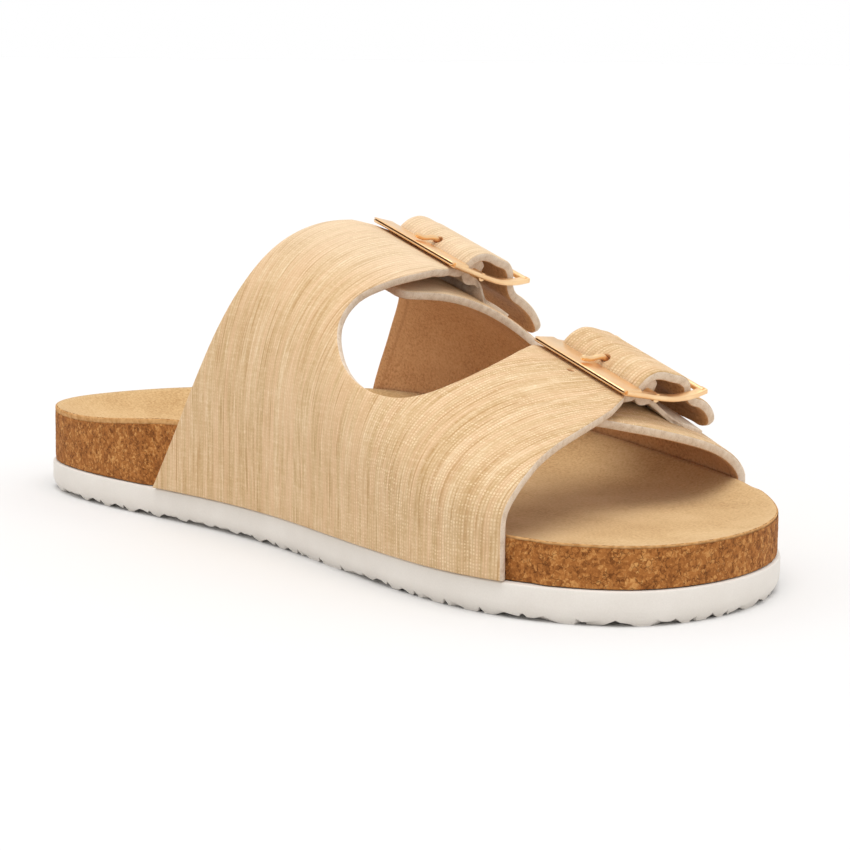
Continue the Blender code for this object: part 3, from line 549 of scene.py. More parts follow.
def triangles(rings, interior):
    """Flat triangles within rings of points, and the places of their corners."""
    flat = []
    edges = []
    for ring in rings:
        base = len(flat)
        flat += [Vector(p) for p in ring]
        edges += [(base + k, base + (k + 1) % len(ring)) for k in range(len(ring))]
    flat += [Vector(p) for p in interior]
    coords, _, tris, _, _, _ = delaunay_2d_cdt(flat, edges, [], 1, 1e-5)
    return np.array([(c[0], c[1]) for c in coords]), [list(t) for t in tris]


def border_loops(tris):
    """Loops of corners along edges that only one triangle uses."""
    use = {(t[k - 1], t[k]) for t in tris for k in range(3)}
    after = {a: b for a, b in use if (b, a) not in use}
    loops = []
    while after:
        loop = [next(iter(after))]
        while after.get(loop[-1]) is not None:
            nxt = after.pop(loop[-1])
            if nxt == loop[0]:
                break
            loop.append(nxt)
        loops.append(loop)
    return loops


def new_piece(name, verts, faces, mats, slot=None, index=None, maps=None, sharp=None):
    """One mesh object in the part's frame, with its materials and named maps; it rides if it has a slot."""
    mesh = bpy.data.meshes.new(name)
    mesh.from_pydata(((np.array(verts) - ORIGIN) * 0.001).tolist(), [], faces)
    for mat in mats:
        mesh.materials.append(mat)
    if index is not None:
        mesh.polygons.foreach_set("material_index", np.array(index, dtype=np.int32))
    bm = bmesh.new()
    bm.from_mesh(mesh)
    bmesh.ops.recalc_face_normals(bm, faces=bm.faces)
    bm.to_mesh(mesh)
    bm.free()
    corner = np.zeros(len(mesh.loops), dtype=np.int32)
    mesh.loops.foreach_get("vertex_index", corner)
    for key, values in (maps or {}).items():
        layer = mesh.uv_layers.new(name=key)
        layer.uv.foreach_set("vector", np.asarray(values, dtype=np.float32)[corner].ravel())
    mesh.shade_smooth()
    if sharp is not None:
        mesh.set_sharp_from_angle(angle=math.radians(sharp))
    obj = bpy.data.objects.new(name, mesh)
    bpy.context.scene.collection.objects.link(obj)
    if slot:
        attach(obj, "root")
    return obj


def sheet_piece(name, tris, top, low, rims, mats, slot, under=0, maps=None, sharp=None):
    """Closed sheet: its top, its underside, and rings of corners down each of its border loops."""
    total = len(top)
    verts = [top, low]
    faces = [list(t) for t in tris] + [[total + k for k in t[::-1]] for t in tris]
    index = [0] * len(tris) + [under] * len(tris)
    used = 2 * total
    for loop, rings, kinds in rims:
        count = len(loop)
        before = loop
        for level in range(len(rings) + 1):
            now = list(range(used, used + count)) if level < len(rings) else [total + k for k in loop]
            for k in range(count):
                faces.append([before[k - 1], before[k], now[k], now[k - 1]])
                index.append(kinds[min(level, len(kinds) - 1)])
            before = now
            used += count if level < len(rings) else 0
        verts += rings
    return new_piece(name, np.concatenate(verts), faces, mats, slot, index, maps, sharp)


def wall_piece(name, skin, outline, interior, holes, mats):
    """Closed wall with soft rounded cut edges; the maps hold cloth places and the reach to an edge."""
    rings = [inward(outline, CUT_EDGE)]
    for centre, radius in holes:
        rings.append(centre + (radius + HOLE_EDGE) * circle(HOLE_SIDES))
        interior = interior[np.hypot(*(interior - centre).T) > radius + 3 * HOLE_EDGE]
    coords, tris = triangles(rings, interior)
    for centre, radius in holes:
        tris = [t for t in tris if np.hypot(*(coords[t].mean(axis=0) - centre)) > radius + 0.28]
    top, normal = skin.at(coords)
    cloth = [coords, coords]
    rims = []
    for loop in border_loops(tris):
        q = coords[loop]
        out = outward(q)
        small = len(loop) == HOLE_SIDES
        r = HOLE_EDGE if small else CUT_EDGE
        steps = [(r * math.sin(a), r * (1 - math.cos(a))) for a in np.radians((30.0, 60.0, 90.0))]
        steps += [(r + (0.0 if small else CUT_BULGE), WALL / 2)]
        steps += [(s, WALL - d) for s, d in steps[2::-1]]
        rings = []
        for side, down in steps:
            cloth.append(q + out * side)
            p, n = skin.at(cloth[-1])
            rings.append(p - n * down)
        rims.append((loop, rings, (0, 2) if small else (0, 0, 1, 1, 1, 1, 2)))
    cloth = np.concatenate(cloth)
    edge = np.zeros_like(cloth)
    edge[:2 * len(coords), 0] = np.tile([nearest(outline, c) for c in coords], 2)
    maps = {"cloth": cloth * MM_TO_CM, "edge": edge * MM_TO_CM}
    return sheet_piece(name, tris, top, top - WALL * normal, rims, mats, "woven_straw", 2, maps)


def make_upper(mats):
    """The two cloth pieces of the upper."""
    outline = inner_outline()
    places = field(outline, *CLOTH_STEPS)
    limit = np.where(places[:, 0] < BETWEEN_BUCKLES_X, FINE_GIRTH["rear"], FINE_GIRTH["front"])
    places = places[places[:, 1] < limit]
    places = [places[inside(outline, places, CLOTH_MARGIN)]]
    for buckle in (REAR, FRONT):
        half = STRAP_HALF * buckle.u[0]
        end = INNER_SKIN.girth(buckle.centre[0]) - 0.8
        strip = []
        for row, g in enumerate(np.arange(FINE_GIRTH[buckle.name] + 0.5, end, FINE_STEP)):
            for k in np.linspace(-0.86, 0.86, 9):
                strip.append((buckle.centre[0] + (k + (0.1 if row % 2 else -0.1)) * half, g))
        strip = np.array(strip)
        places.append(strip[inside(outline, strip, 0.8)])
    holes = []
    gs = np.arange(50.0, 140.0, 0.1)
    for buckle, at, radius in ((REAR, PIN_HOLE_AT, PIN_HOLE_RADIUS), (FRONT, PIN_HOLE_AT, PIN_HOLE_RADIUS),
                               (FRONT, SPARE_HOLE_AT, SPARE_HOLE_RADIUS)):
        x = buckle.centre[0]
        line, _ = INNER_SKIN.at(np.stack([np.full(len(gs), x), gs], axis=1))
        near = int(np.argmin(np.linalg.norm(line - buckle.at(0.0, *at), axis=1)))
        holes.append((np.array((x, gs[near])), radius))
    inner = wall_piece("upper_inner_side", INNER_SKIN, outline, np.concatenate(places), holes, mats)
    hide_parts("upper")
    outline = outer_outline()
    places = field(outline, *CLOTH_STEPS)
    places = places[inside(outline, places, CLOTH_MARGIN)]
    outer = wall_piece("upper_outer_side", OUTER_SKIN, outline, places, [], mats)
    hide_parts("upper")


def outer_height(x, y):
    """Height of the outer-side piece's outer face above a point."""
    pts = outer_section(x)
    return float(np.interp(-y, -pts[:, 1], pts[:, 2]))


def swept(name, rings, mats, slot=None, sharp=None):
    """Closed piece through rings that have the same count of points."""
    count = len(rings[0])
    last = (len(rings) - 1) * count
    faces = [list(range(count))[::-1], list(range(last, last + count))]
    for start in range(0, last, count):
        for k in range(count):
            n = (k + 1) % count
            faces.append([start + k, start + n, start + count + n, start + count + k])
    return new_piece(name, np.concatenate(rings), faces, mats, slot, sharp=sharp)


def make_tab(buckle, mats):
    """Folded tab: round the inner bar and down to the outer-side strap."""
    half = LOOP_HALF - 0.4
    turn = np.radians(np.linspace(35.0, 285.0, 20))
    rows = []
    for u in np.linspace(-half, half, 15):
        x = buckle.centre[0] + u * buckle.u[0]
        path = [buckle.at(u, INNER_BAR_V + 2.2, INNER_BAR_W - 1.9),
                buckle.at(u, INNER_BAR_V + 4.6, INNER_BAR_W - 3.2)]
        for y in TAB_LANDINGS[buckle.name]:
            lift = unit(np.array((0.0, outer_height(x, y - 0.5) - outer_height(x, y + 0.5), 1.0)))
            path.append(np.array((x, y, outer_height(x, y))) + TAB_LIFT * lift)
        path = smooth_path(path, 4)
        up = np.cross(buckle.u, tangents(path))
        fold = [buckle.at(u, INNER_BAR_V + LOOP_OUTER * math.cos(a), INNER_BAR_W + LOOP_OUTER * math.sin(a))
                for a in turn]
        rows.append([*(path + TAB_OVER * up)[::-1], *fold, *(path - TAB_UNDER * up)[1:]])
    tab = swept("tab_" + buckle.name, rows, mats, "woven_straw", 40.0)
    mod = tab.modifiers.new("soft edges", "BEVEL")
    mod.width = TAB_SOFT_EDGE * 0.001
    mod.segments = 3
    mod.limit_method = "ANGLE"
    mod.angle_limit = math.radians(40.0)
    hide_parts("upper")


def toe_share(points):
    """0 along the heel and 1 along the toe, where the cork reaches almost to the insole's top."""
    return ease((points[:, 0] - TOE_FROM) / TOE_RUN)


def make_insole(mats):
    """Thin suede sheet over the cork, with a rounded rim."""
    ring = CORK_RING[::2]
    belt = np.concatenate([inward(ring, d)[::2] for d in (1.6, 3.4)])
    places = field(ring, 3.2, 2.8)
    places = places[inside(inward(ring, 3.4), places, 1.8)]
    coords, tris = triangles([inward(ring, 0.45)], np.concatenate([belt, places]))
    loop = border_loops(tris)[0]
    top = np.column_stack([coords, insole_top(coords)])
    q = coords[loop]
    out = outward(q)
    toe = toe_share(q)
    steps = ((0.08, 0.10, 0.08, 0.06), (0.15, 0.10, 0.15, 0.06), (0.30, 0.06, 0.26, 0.05),
             (0.42, 0.20, 0.32, 0.14), (0.47, 0.45, 0.33, 0.26), (0.47, 1.0, 0.29, 0.50),
             (0.38, 1.45, 0.22, 0.90))
    rings = []
    for heel_side, heel_down, toe_side, toe_down in steps:
        side = heel_side + (toe_side - heel_side) * toe
        down = heel_down + (toe_down - heel_down) * toe
        rings.append(np.column_stack([q + out * side[:, None], top[loop][:, 2] - down]))
    rims = [(loop, rings, (2, 2, 1))]
    piece = sheet_piece("insole_suede", tris, top, top - (0.0, 0.0, INSOLE_THICK), rims, mats, "suede")
    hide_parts("insole")


def make_cork(mats):
    """Cork block whose bare side is a little rough with granules."""
    ring = inward(CORK_RING, 0.3)
    places = field(ring, 6.0, 5.2)
    places = places[inside(ring, places, 2.5)]
    coords, tris = triangles([ring], places)
    loop = border_loops(tris)[0]
    top = np.column_stack([coords, insole_top(coords) - INSOLE_THICK - GAP])
    low = np.column_stack([coords, np.full(len(coords), SOLE_THICK + GAP)])
    q = coords[loop]
    out = outward(q)
    rings = []
    for share in np.linspace(0.0, 1.0, CORK_ROWS):
        z = (top[loop, 2] - 0.3 + toe_share(q)) * (1 - share) + low[loop, 2] * share
        rough = []
        for (x, y), h in zip(q, z):
            at = Vector((x, y, h))
            rough.append(sum(size * noise.noise(at * scale) for size, scale in CORK_ROUGH))
        side = 0.3 + np.array(rough) - (0.12 if share == 1.0 else 0.0)
        rings.append(np.column_stack([q + out * side[:, None], z]))
    piece = sheet_piece("cork_block", tris, top, low, [(loop, rings, (0,))], mats, "cork", sharp=50.0)
    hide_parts("cork_footbed")


# Side of the sole: its heights, and how far each stands back from the outline
SOLE_SIDE = (
    (-3.0, SOLE_EDGE_BEVEL), (0.3, SOLE_EDGE_BEVEL), (0.9, 0.95), (1.6, 0.5), (2.5, 0.14), (3.6, 0.0),
    (7.2, 0.0), (7.52, 0.08), (7.72, 0.28), (7.8, 0.6),
)
LATTICE_TOP = 20.0

# One tread cell: share towards the heel, share across and share of the lug's height
CELL_POINTS = (
    (0.0, 0.0, 0.1), (1.0, 0.0, 0.1), (1.0, 1.0, 0.1), (0.0, 1.0, 0.1),
    (0.07, 0.0, 0.92), (0.93, 0.0, 0.92), (0.07, 1.0, 0.92), (0.93, 1.0, 0.92),
    (0.0, 0.5, 0.05), (1.0, 0.5, 0.05),
    (0.07, 0.1, 1.0), (0.91, 0.06, 1.0), (0.9, 0.2, 1.0), (0.58, 0.34, 1.0), (0.12, 0.6, 0.9),
    (0.06, 0.72, 0.1), (0.34, 0.58, 0.06), (0.6, 0.44, 0.06), (0.95, 0.27, 0.1),
    (0.66, 0.54, 0.92), (0.92, 0.38, 0.96), (0.92, 0.64, 0.96), (0.7, 0.74, 0.9),
    (0.55, 0.8, 0.06), (0.94, 0.8, 0.04), (0.36, 0.74, 0.42),
)
CELL_EDGES = (
    (0, 4), (4, 5), (5, 1), (1, 9), (9, 2), (2, 7), (7, 6), (6, 3), (3, 8), (8, 0),
    (10, 11), (11, 12), (12, 13), (13, 14), (14, 10),
    (15, 16), (16, 17), (17, 18),
    (19, 20), (20, 21), (21, 22), (22, 19), (23, 24),
)


def make_lattice():
    """Block over the whole sole whose underside is the field of lugs."""
    columns = int(math.ceil(LENGTH / LUG_PITCH_X)) + 1
    rows = int(math.ceil(BALL_WIDTH / LUG_PITCH_Y)) + 2
    x0 = (LENGTH - columns * LUG_PITCH_X) / 2
    y0 = (RING[:, 1].max() + RING[:, 1].min()) / 2 - rows * LUG_PITCH_Y / 2
    flat = [Vector(c[:2]) for c in CELL_POINTS]
    cell, _, tris, origin, _, _ = delaunay_2d_cdt(flat, list(CELL_EDGES), [], 0, 1e-6)
    share = [CELL_POINTS[o[0]][2] for o in origin]
    index = {}
    verts = []
    faces = []

    def corner(x, y, z):
        key = (round(x, 3), round(y, 3))
        if key not in index:
            index[key] = len(verts)
            verts.append((x, y, z))
        return index[key]

    for i in range(columns):
        for j in range(rows):
            at = [corner(x0 + (i + 1 - s) * LUG_PITCH_X, y0 + (j + t) * LUG_PITCH_Y, LUG_DEPTH * (1 - h))
                  for (s, t), h in zip(cell, share)]
            faces += [[at[k] for k in t] for t in tris]
    rim = border_loops(faces)[0]
    lid = [len(verts) + k for k in range(len(rim))]
    verts += [(*verts[k][:2], LATTICE_TOP) for k in rim]
    middle = len(verts)
    verts.append((LENGTH / 2, 0.0, LATTICE_TOP))
    for k in range(len(rim)):
        faces.append([rim[k], rim[k - 1], lid[k - 1], lid[k]])
        faces.append([lid[k], lid[k - 1], middle])
    return new_piece("lattice", verts, faces, [])


def make_outsole(mats):
    """White sole: smooth side, rounded edges and a tread of twisted lugs."""
    ring = sole_outline(300)
    rings = [np.column_stack([inward(ring, inset), np.full(len(ring), z)]) for z, inset in SOLE_SIDE]
    sole = swept("outsole_tread", rings, mats)
    combine(sole, make_lattice(), "INTERSECT")
    finish_joined(sole, mats, 16.0)
    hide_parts("outsole")


def rounded(half_a, half_b, corner):
    """Rectangle with round corners, as points once round."""
    points = []
    for quarter, (sa, sb) in enumerate(((1, 1), (-1, 1), (-1, -1), (1, -1))):
        for a in np.linspace(0.0, math.pi / 2, 4):
            turn = a + quarter * math.pi / 2
            points.append((sa * (half_a - corner) + corner * math.cos(turn),
                           sb * (half_b - corner) + corner * math.sin(turn)))
    return points


def combine(base, other, operation):
    """Boolean of two closed pieces; the second one is used up."""
    mod = base.modifiers.new("combine", "BOOLEAN")
    mod.operation = operation
    mod.solver = "EXACT"
    mod.object = other
    graph = bpy.context.evaluated_depsgraph_get()
    mesh = bpy.data.meshes.new_from_object(base.evaluated_get(graph))
    base.modifiers.clear()
    base.data = mesh
    bpy.data.objects.remove(other, do_unlink=True)


def finish_joined(obj, mats, sharp):
    """Give a joined piece its materials, smooth shading and body."""
    mesh = obj.data
    mesh.materials.clear()
    for mat in mats:
        mesh.materials.append(mat)
    mesh.polygons.foreach_set("material_index", np.zeros(len(mesh.polygons), dtype=np.int32))
    mesh.shade_smooth()
    mesh.set_sharp_from_angle(angle=math.radians(sharp))
    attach(obj, "root")


def round_bar(buckle, v, w, radius, mats):
    """Round bar from rail to rail."""
    reach = RAIL_OUT - 0.7
    around = circle(20) * radius
    rings = [[buckle.at(u, v + across, w + rise) for across, rise in around] for u in (-reach, reach)]
    return swept("bar", rings, mats)


# Section of the plate, with a recess along its near edge
PLATE_PROFILE = (
    (6.40, -0.40), (6.30, -0.12), (6.00, 0.0), (0.40, 0.0), (0.12, -0.06), (0.0, -0.20), (0.06, -0.30),
    (0.62, -0.36), (0.66, -0.60), (0.14, -0.70), (0.08, -0.84), (0.14, -1.00), (0.40, -1.20), (6.00, -1.20),
    (6.30, -1.08), (6.40, -0.80),
)


def make_buckle(buckle, mats):
    """Plate, two waved rails, far bar and inner bar, with softened edges."""
    rings = []
    for side, ends in ((-1, PLATE_ENDS), (1, PLATE_ENDS[::-1])):
        for inset, across, thick in ends:
            u = side * (PLATE_HALF - inset)
            rings.append([buckle.at(u, PLATE_WIDE / 2 + (v - PLATE_WIDE / 2) * across,
                                    (w + PLATE_THICK / 2) * thick - PLATE_THICK / 2)
                          for v, w in PLATE_PROFILE])
    body = swept(buckle.name + "_buckle", rings, mats)
    path = smooth_path(RAIL_PATH, 7)
    for side in (-1, 1):
        mid = side * (RAIL_OUT - RAIL_WIDE / 2)
        rings = []
        for (v, w), (dv, dw) in zip(path, tangents(path)):
            ring = []
            for a, b in rounded(RAIL_WIDE / 2, RAIL_THICK / 2, 0.34):
                down = b - RAIL_THICK / 2
                ring.append(buckle.at(mid + a, v - down * dw, w + down * dv))
            rings.append(ring)
        combine(body, swept("rail", rings, mats), "UNION")
    far_w = float(np.interp(FAR_BAR_V, path[:, 0], path[:, 1])) - RAIL_THICK / 2 + 0.05
    for v, w, radius in ((FAR_BAR_V, far_w, FAR_BAR_RADIUS), (INNER_BAR_V, INNER_BAR_W, INNER_BAR_RADIUS)):
        combine(body, round_bar(buckle, v, w, radius, mats), "UNION")
    finish_joined(body, mats, 42.0)
    # the recess along the plate's near edge gets painted shade
    paint_recess_shade(body, buckle)
    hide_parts(buckle.name + "_buckle_frame")


def make_pin(buckle, mats):
    """Round pin that lies on the plate and narrows at its tip."""
    path = smooth_path(PRONG_PATH, 5)
    shares = [1.0] * (len(path) - len(PRONG_TIP)) + list(PRONG_TIP)
    rings = []
    for (v, w), (dv, dw), share in zip(path, tangents(path), shares):
        around = circle(16) * PRONG_RADIUS * share
        rings.append([buckle.at(u, v - rise * dw, w + rise * dv) for u, rise in around])
    pin = swept(buckle.name + "_pin", rings, mats)
    finish_joined(pin, mats, 42.0)
    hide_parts(buckle.name + "_buckle_prong")


def paint_recess_shade(body, buckle):
    """Paint shade into the recess along the plate's near edge: its faces take the darker, duller copy of the
    plating.
    """
    for face in body.data.polygons:
        at = np.array(face.center) * 1000.0 + ORIGIN - buckle.centre
        across = RECESS_V[0] < at @ buckle.v < RECESS_V[1]
        level = RECESS_W[0] < at @ buckle.w < RECESS_W[1]
        if across and level and abs(at @ buckle.u) < PLATE_HALF - 0.3:
            face.material_index = 1


def colour(red, green, blue):
    """Linear colour from screen values of 0 to 255."""
    c = np.array((red, green, blue)) / 255.0
    return (*np.where(c <= 0.04045, c / 12.92, ((c + 0.055) / 1.055) ** 2.4), 1.0)


def set_stops(ramp, stops):
    """Places and colours of a colour ramp."""
    while len(ramp.elements) < len(stops):
        ramp.elements.new(0.5)
    for element, (at, rgb) in zip(ramp.elements, stops):
        element.position = at
        element.color = rgb


class Paint:
    """Wires one procedural material."""

    def __init__(self, name, rough, metal=0.0, specular=0.5):
        self.mat = bpy.data.materials.new(name)
        self.mat.use_nodes = True
        self.tree = self.mat.node_tree
        self.shader = self.tree.nodes["Principled BSDF"]
        for key, value in (("Roughness", rough), ("Metallic", metal), ("Specular IOR Level", specular)):
            self.shader.inputs[key].default_value = value

    def put(self, socket, value):
        if isinstance(value, bpy.types.NodeSocket):
            self.tree.links.new(value, socket)
        else:
            socket.default_value = value

    def node(self, kind, values=None, **settings):
        made = self.tree.nodes.new(kind)
        for key, value in settings.items():
            setattr(made, key, value)
        for key, value in (values or {}).items():
            self.put(made.inputs[key], value)
        return made

    def math(self, operation, a, b=0.0, clamp=False):
        return self.node("ShaderNodeMath", {0: a, 1: b}, operation=operation, use_clamp=clamp).outputs[0]

    def times(self, a, b):
        return self.math("MULTIPLY", a, b)

    def total(self, *parts):
        """Sum of values, each times its weight."""
        out = 0.0
        for value, weight in parts:
            out = self.math("ADD", out, self.times(value, weight))
        return out

    def place(self):
        """Position on the shoe, in centimetres."""
        return self.scaled(self.node("ShaderNodeTexCoord").outputs["Object"], (100.0, 100.0, 100.0))

    def map(self, name):
        return self.node("ShaderNodeUVMap", uv_map=name).outputs[0]

    def scaled(self, vector, scale):
        return self.node("ShaderNodeMapping", {"Vector": vector, "Scale": scale}).outputs[0]

    def noise(self, vector, scale=1.0, detail=2.0, rough=0.5):
        values = {"Vector": vector, "Scale": scale, "Detail": detail, "Roughness": rough}
        return self.node("ShaderNodeTexNoise", values).outputs[0]

    def ramp(self, value, *stops):
        made = self.node("ShaderNodeValToRGB", {0: value})
        set_stops(made.color_ramp, [(at, colour(*rgb)) for at, rgb in stops])
        return made.outputs[0]

    def step(self, value, low, high, to_low=0.0, to_high=1.0):
        return self.node("ShaderNodeMapRange", {0: value, 1: low, 2: high, 3: to_low, 4: to_high},
                         interpolation_type="SMOOTHSTEP").outputs[0]

    def mix(self, factor, base, rgb):
        return self.node("ShaderNodeMix", {0: factor, 6: base, 7: colour(*rgb)}, data_type="RGBA").outputs[2]

    def bump(self, height, strength, distance_mm):
        values = {"Height": height, "Strength": strength, "Distance": distance_mm * 0.001}
        return self.node("ShaderNodeBump", values).outputs[0]

    def finish(self, base, normal=None, rough=None):
        for name, value in (("Base Color", base), ("Roughness", rough), ("Normal", normal)):
            if value is not None:
                self.put(self.shader.inputs[name], value)
        return self.mat


def straw_material():
    """Slub weave of straw: short uneven upright threads. Painted light: the upper's rear top is painted
    paler, as lit from above, and the dark seams and pale flecks show more at the front and on top, where
    light falls.
    """
    p = Paint("woven_straw", 0.62, specular=0.3)
    uv = p.map("cloth")
    station, girth = p.node("ShaderNodeSeparateXYZ", {0: uv}).outputs[:2]

    def soft(across_mm, up_mm, detail, rough=0.5):
        return p.noise(p.scaled(uv, (10.0 / across_mm, 10.0 / up_mm, 1.0)), 1.0, detail, rough)

    def threads(run, along, length):
        """Tone of each thread, which drifts slowly along it."""
        own = p.times(p.math("FLOOR", run), 5.37)
        drift = p.times(along, 10.0 / length)
        return p.noise(p.node("ShaderNodeCombineXYZ", {0: own, 1: drift}).outputs[0], 1.0, 2.0)

    def ridge(run):
        """Rounded height of a thread, from its seam to its crest."""
        return p.math("SINE", p.times(p.math("FRACT", run), math.pi))

    swayed = p.math("ADD", station, p.times(soft(22.0, 40.0, 1.0), 0.3))
    across = p.times(swayed, 10.0 / 0.85)
    thin = p.times(swayed, 10.0 / 0.42)
    jog = p.times(soft(2.4, 4.0, 1.0), 0.14)
    up = p.times(p.math("ADD", girth, jog), 10.0 / 0.78)
    # painted light: mask of the top of the upper's rear part, which is painted paler as if lit from above
    top = p.times(p.step(girth, 5.6, 8.0), p.step(station, 15.5, 14.0))
    # painted light: the crossings' dark seams and pale flecks show more strongly at the front and on top,
    # where light falls
    lit_crossings = p.math("ADD", p.step(station, 14.5, 18.5, 0.0, 0.8), p.times(top, 0.5), True)
    lit_crossings = p.times(lit_crossings, p.step(soft(9.0, 14.0, 2.0), 0.36, 0.6, 0.4, 1.0))

    wide_thread = threads(across, girth, 16.0)
    thin_thread = threads(thin, girth, 11.0)
    tone = p.total((wide_thread, 0.26), (thin_thread, 0.26), (soft(3.6, 60.0, 2.0), 0.22),
                   (threads(up, station, 9.0), 0.12), (soft(0.6, 0.9, 1.0), 0.14))
    base = p.ramp(tone, (0.36, (180, 142, 92)), (0.44, (197, 163, 117)),
                  (0.52, (211, 179, 137)), (0.62, (228, 202, 164)))
    base = p.mix(p.step(soft(2.2, 45.0, 2.0, 0.6), 0.42, 0.62, 0.0, 0.5), base, (219, 181, 142))
    line = p.step(threads(thin, girth, 30.0), 0.41, 0.34)
    base = p.mix(p.times(line, 0.55), base, (172, 130, 76))
    # painted light: paler colour laid over the lit top
    base = p.mix(p.times(top, 0.36), base, (231, 213, 187))

    weave = p.math("MINIMUM", ridge(across), p.math("ADD", p.times(ridge(up), 0.7), 0.3))
    seam = p.times(p.step(weave, 0.62, 0.0), p.step(lit_crossings, 0.0, 1.0, 0.22, 0.42))
    base = p.mix(seam, base, (160, 120, 74))
    # the flecks are the straw's own pale gold; how strongly they show comes from the painted-light mask
    crest = p.times(p.step(ridge(up), 0.5, 0.95), p.step(ridge(across), 0.4, 0.9))
    fleck = p.times(crest, p.step(soft(1.7, 1.5, 1.0), 0.40, 0.62))
    fleck = p.times(fleck, p.step(lit_crossings, 0.0, 1.0, 0.18, 0.6))
    base = p.mix(fleck, base, (243, 220, 178))

    height = p.total((weave, p.step(lit_crossings, 0.0, 1.0, 0.4, 0.9)), (wide_thread, 0.6), (thin_thread, 0.4))
    rough = p.math("SUBTRACT", 0.66, p.times(fleck, 0.25))
    return p.finish(base, p.bump(height, 0.4, 0.2), rough)


def edge_material():
    """Raw cut edge of the backing: pale, soft and a little fibrous."""
    p = Paint("cut_edge", 0.92)
    at = p.place()
    tone = p.total((p.noise(at, 6.0, 3.0), 0.6), (p.noise(at, 30.0, 2.0), 0.4))
    base = p.ramp(tone, (0.3, (194, 171, 146)), (0.5, (219, 200, 178)), (0.7, (231, 216, 198)))
    return p.finish(base, p.bump(p.noise(at, 42.0, 2.0), 0.5, 0.1))


def suede_material(name, dark, mid, pale, line):
    """Short-napped suede with cloudy tone; the lining has a darker line along its edge."""
    p = Paint(name, 0.95, specular=0.12)
    p.shader.inputs["Sheen Weight"].default_value = 0.08
    p.shader.inputs["Sheen Roughness"].default_value = 0.5
    at = p.place()
    nap = p.noise(at, 16.0, 3.0, 0.6)
    tone = p.total((p.noise(at, 0.55, 3.0), 0.38), (nap, 0.62))
    base = p.ramp(tone, (0.32, dark), (0.5, mid), (0.68, pale))
    if line:
        reach = p.node("ShaderNodeSeparateXYZ", {0: p.map("edge")}).outputs[0]
        near = p.math("ABSOLUTE", p.math("SUBTRACT", reach, 0.33))
        mark = p.step(near, 0.02, 0.07, 1.0, 0.0)
        base = p.mix(p.times(mark, 0.35), base, dark)
    height = p.math("ADD", nap, p.noise(at, 45.0, 2.0))
    return p.finish(base, p.bump(height, 0.35, 0.1))


def burnished_material():
    """Rounded rim of the insole, a shade deeper than its top; the dotted dark line above it is insole_line.
    """
    p = Paint("insole_rim", 0.9, specular=0.12)
    at = p.place()
    base = p.ramp(p.noise(at, 7.0, 3.0), (0.35, (180, 130, 78)), (0.65, (208, 162, 108)))
    return p.finish(base, p.bump(p.noise(at, 40.0, 2.0), 0.4, 0.08))


def groove_material():
    """Dark dots along the line where the insole's top turns down."""
    p = Paint("insole_line", 0.95, specular=0.1)
    dots = p.noise(p.place(), 9.0, 1.0)
    base = p.ramp(dots, (0.40, (120, 76, 38)), (0.56, (198, 154, 102)))
    return p.finish(base, p.bump(dots, 0.3, 0.1))


def cork_material():
    """Pressed cork: soft packed granules in orange browns, with small dark pits between them."""
    p = Paint("cork", 0.86, specular=0.15)
    at = p.place()
    drift = p.node("ShaderNodeTexNoise", {"Vector": at, "Scale": 9.0, "Detail": 2.0}).outputs[1]
    bent = p.node("ShaderNodeVectorMath", {0: drift, 1: (0.13, 0.13, 0.13), 2: at},
                  operation="MULTIPLY_ADD").outputs[0]

    def granules(scale, channel):
        """Own tone of each granule."""
        made = p.node("ShaderNodeTexVoronoi", {"Vector": bent, "Scale": scale}).outputs["Color"]
        return p.node("ShaderNodeSeparateColor", {0: made}).outputs[channel]

    seam = p.node("ShaderNodeTexVoronoi", {"Vector": bent, "Scale": 8.5}, feature="DISTANCE_TO_EDGE")
    tone = p.total((granules(4.8, 0), 0.20), (granules(12.5, 1), 0.28), (p.noise(at, 18.0, 3.0, 0.65), 0.52))
    base = p.ramp(tone, (0.24, (118, 69, 30)), (0.42, (152, 94, 45)),
                  (0.56, (172, 111, 56)), (0.76, (206, 150, 88)))
    pit = p.times(p.step(seam.outputs["Distance"], 0.0, 0.08, 1.0, 0.0),
                  p.step(p.noise(at, 5.0, 2.0), 0.42, 0.58))
    base = p.mix(p.times(pit, 0.8), base, (92, 50, 18))
    height = p.math("SUBTRACT", p.times(tone, 0.8), p.times(pit, 0.6))
    return p.finish(base, p.bump(height, 0.6, 0.25))


def rubber_material():
    """Off-white matt moulded foam rubber with a very faint mottle."""
    p = Paint("sole_rubber", 0.58, specular=0.35)
    at = p.place()
    grain = p.noise(at, 26.0, 2.0)
    tone = p.total((p.noise(at, 0.9, 3.0), 0.6), (grain, 0.4))
    base = p.ramp(tone, (0.3, (219, 212, 203)), (0.7, (229, 223, 215)))
    rough = p.step(grain, 0.3, 0.7, 0.5, 0.66)
    return p.finish(base, p.bump(grain, 0.18, 0.06), rough)


def metal_material(name, metal_share, low, high):
    """Satin rose-gold plating, faintly brushed; a duller, darker copy of it is painted shade in the plate's
    recess.
    """
    p = Paint(name, 0.34, metal_share)
    at = p.place()
    brush = p.noise(p.scaled(at, (1.2, 18.0, 18.0)), 1.0, 2.0)
    base = p.ramp(p.noise(at, 1.4, 2.0), (0.3, low), (0.7, high))
    rough = p.step(brush, 0.25, 0.75, 0.30, 0.42)
    return p.finish(base, p.bump(brush, 0.03, 0.03), rough)


# Materials and pieces
edge = edge_material()
lining = suede_material("lining_suede", (166, 118, 78), (200, 153, 108), (216, 172, 128), True)
footbed = suede_material("insole_suede", (178, 140, 93), (202, 167, 119), (214, 182, 137), False)
metal = metal_material("buckle_metal", 1.0, (246, 203, 152), (253, 218, 170))
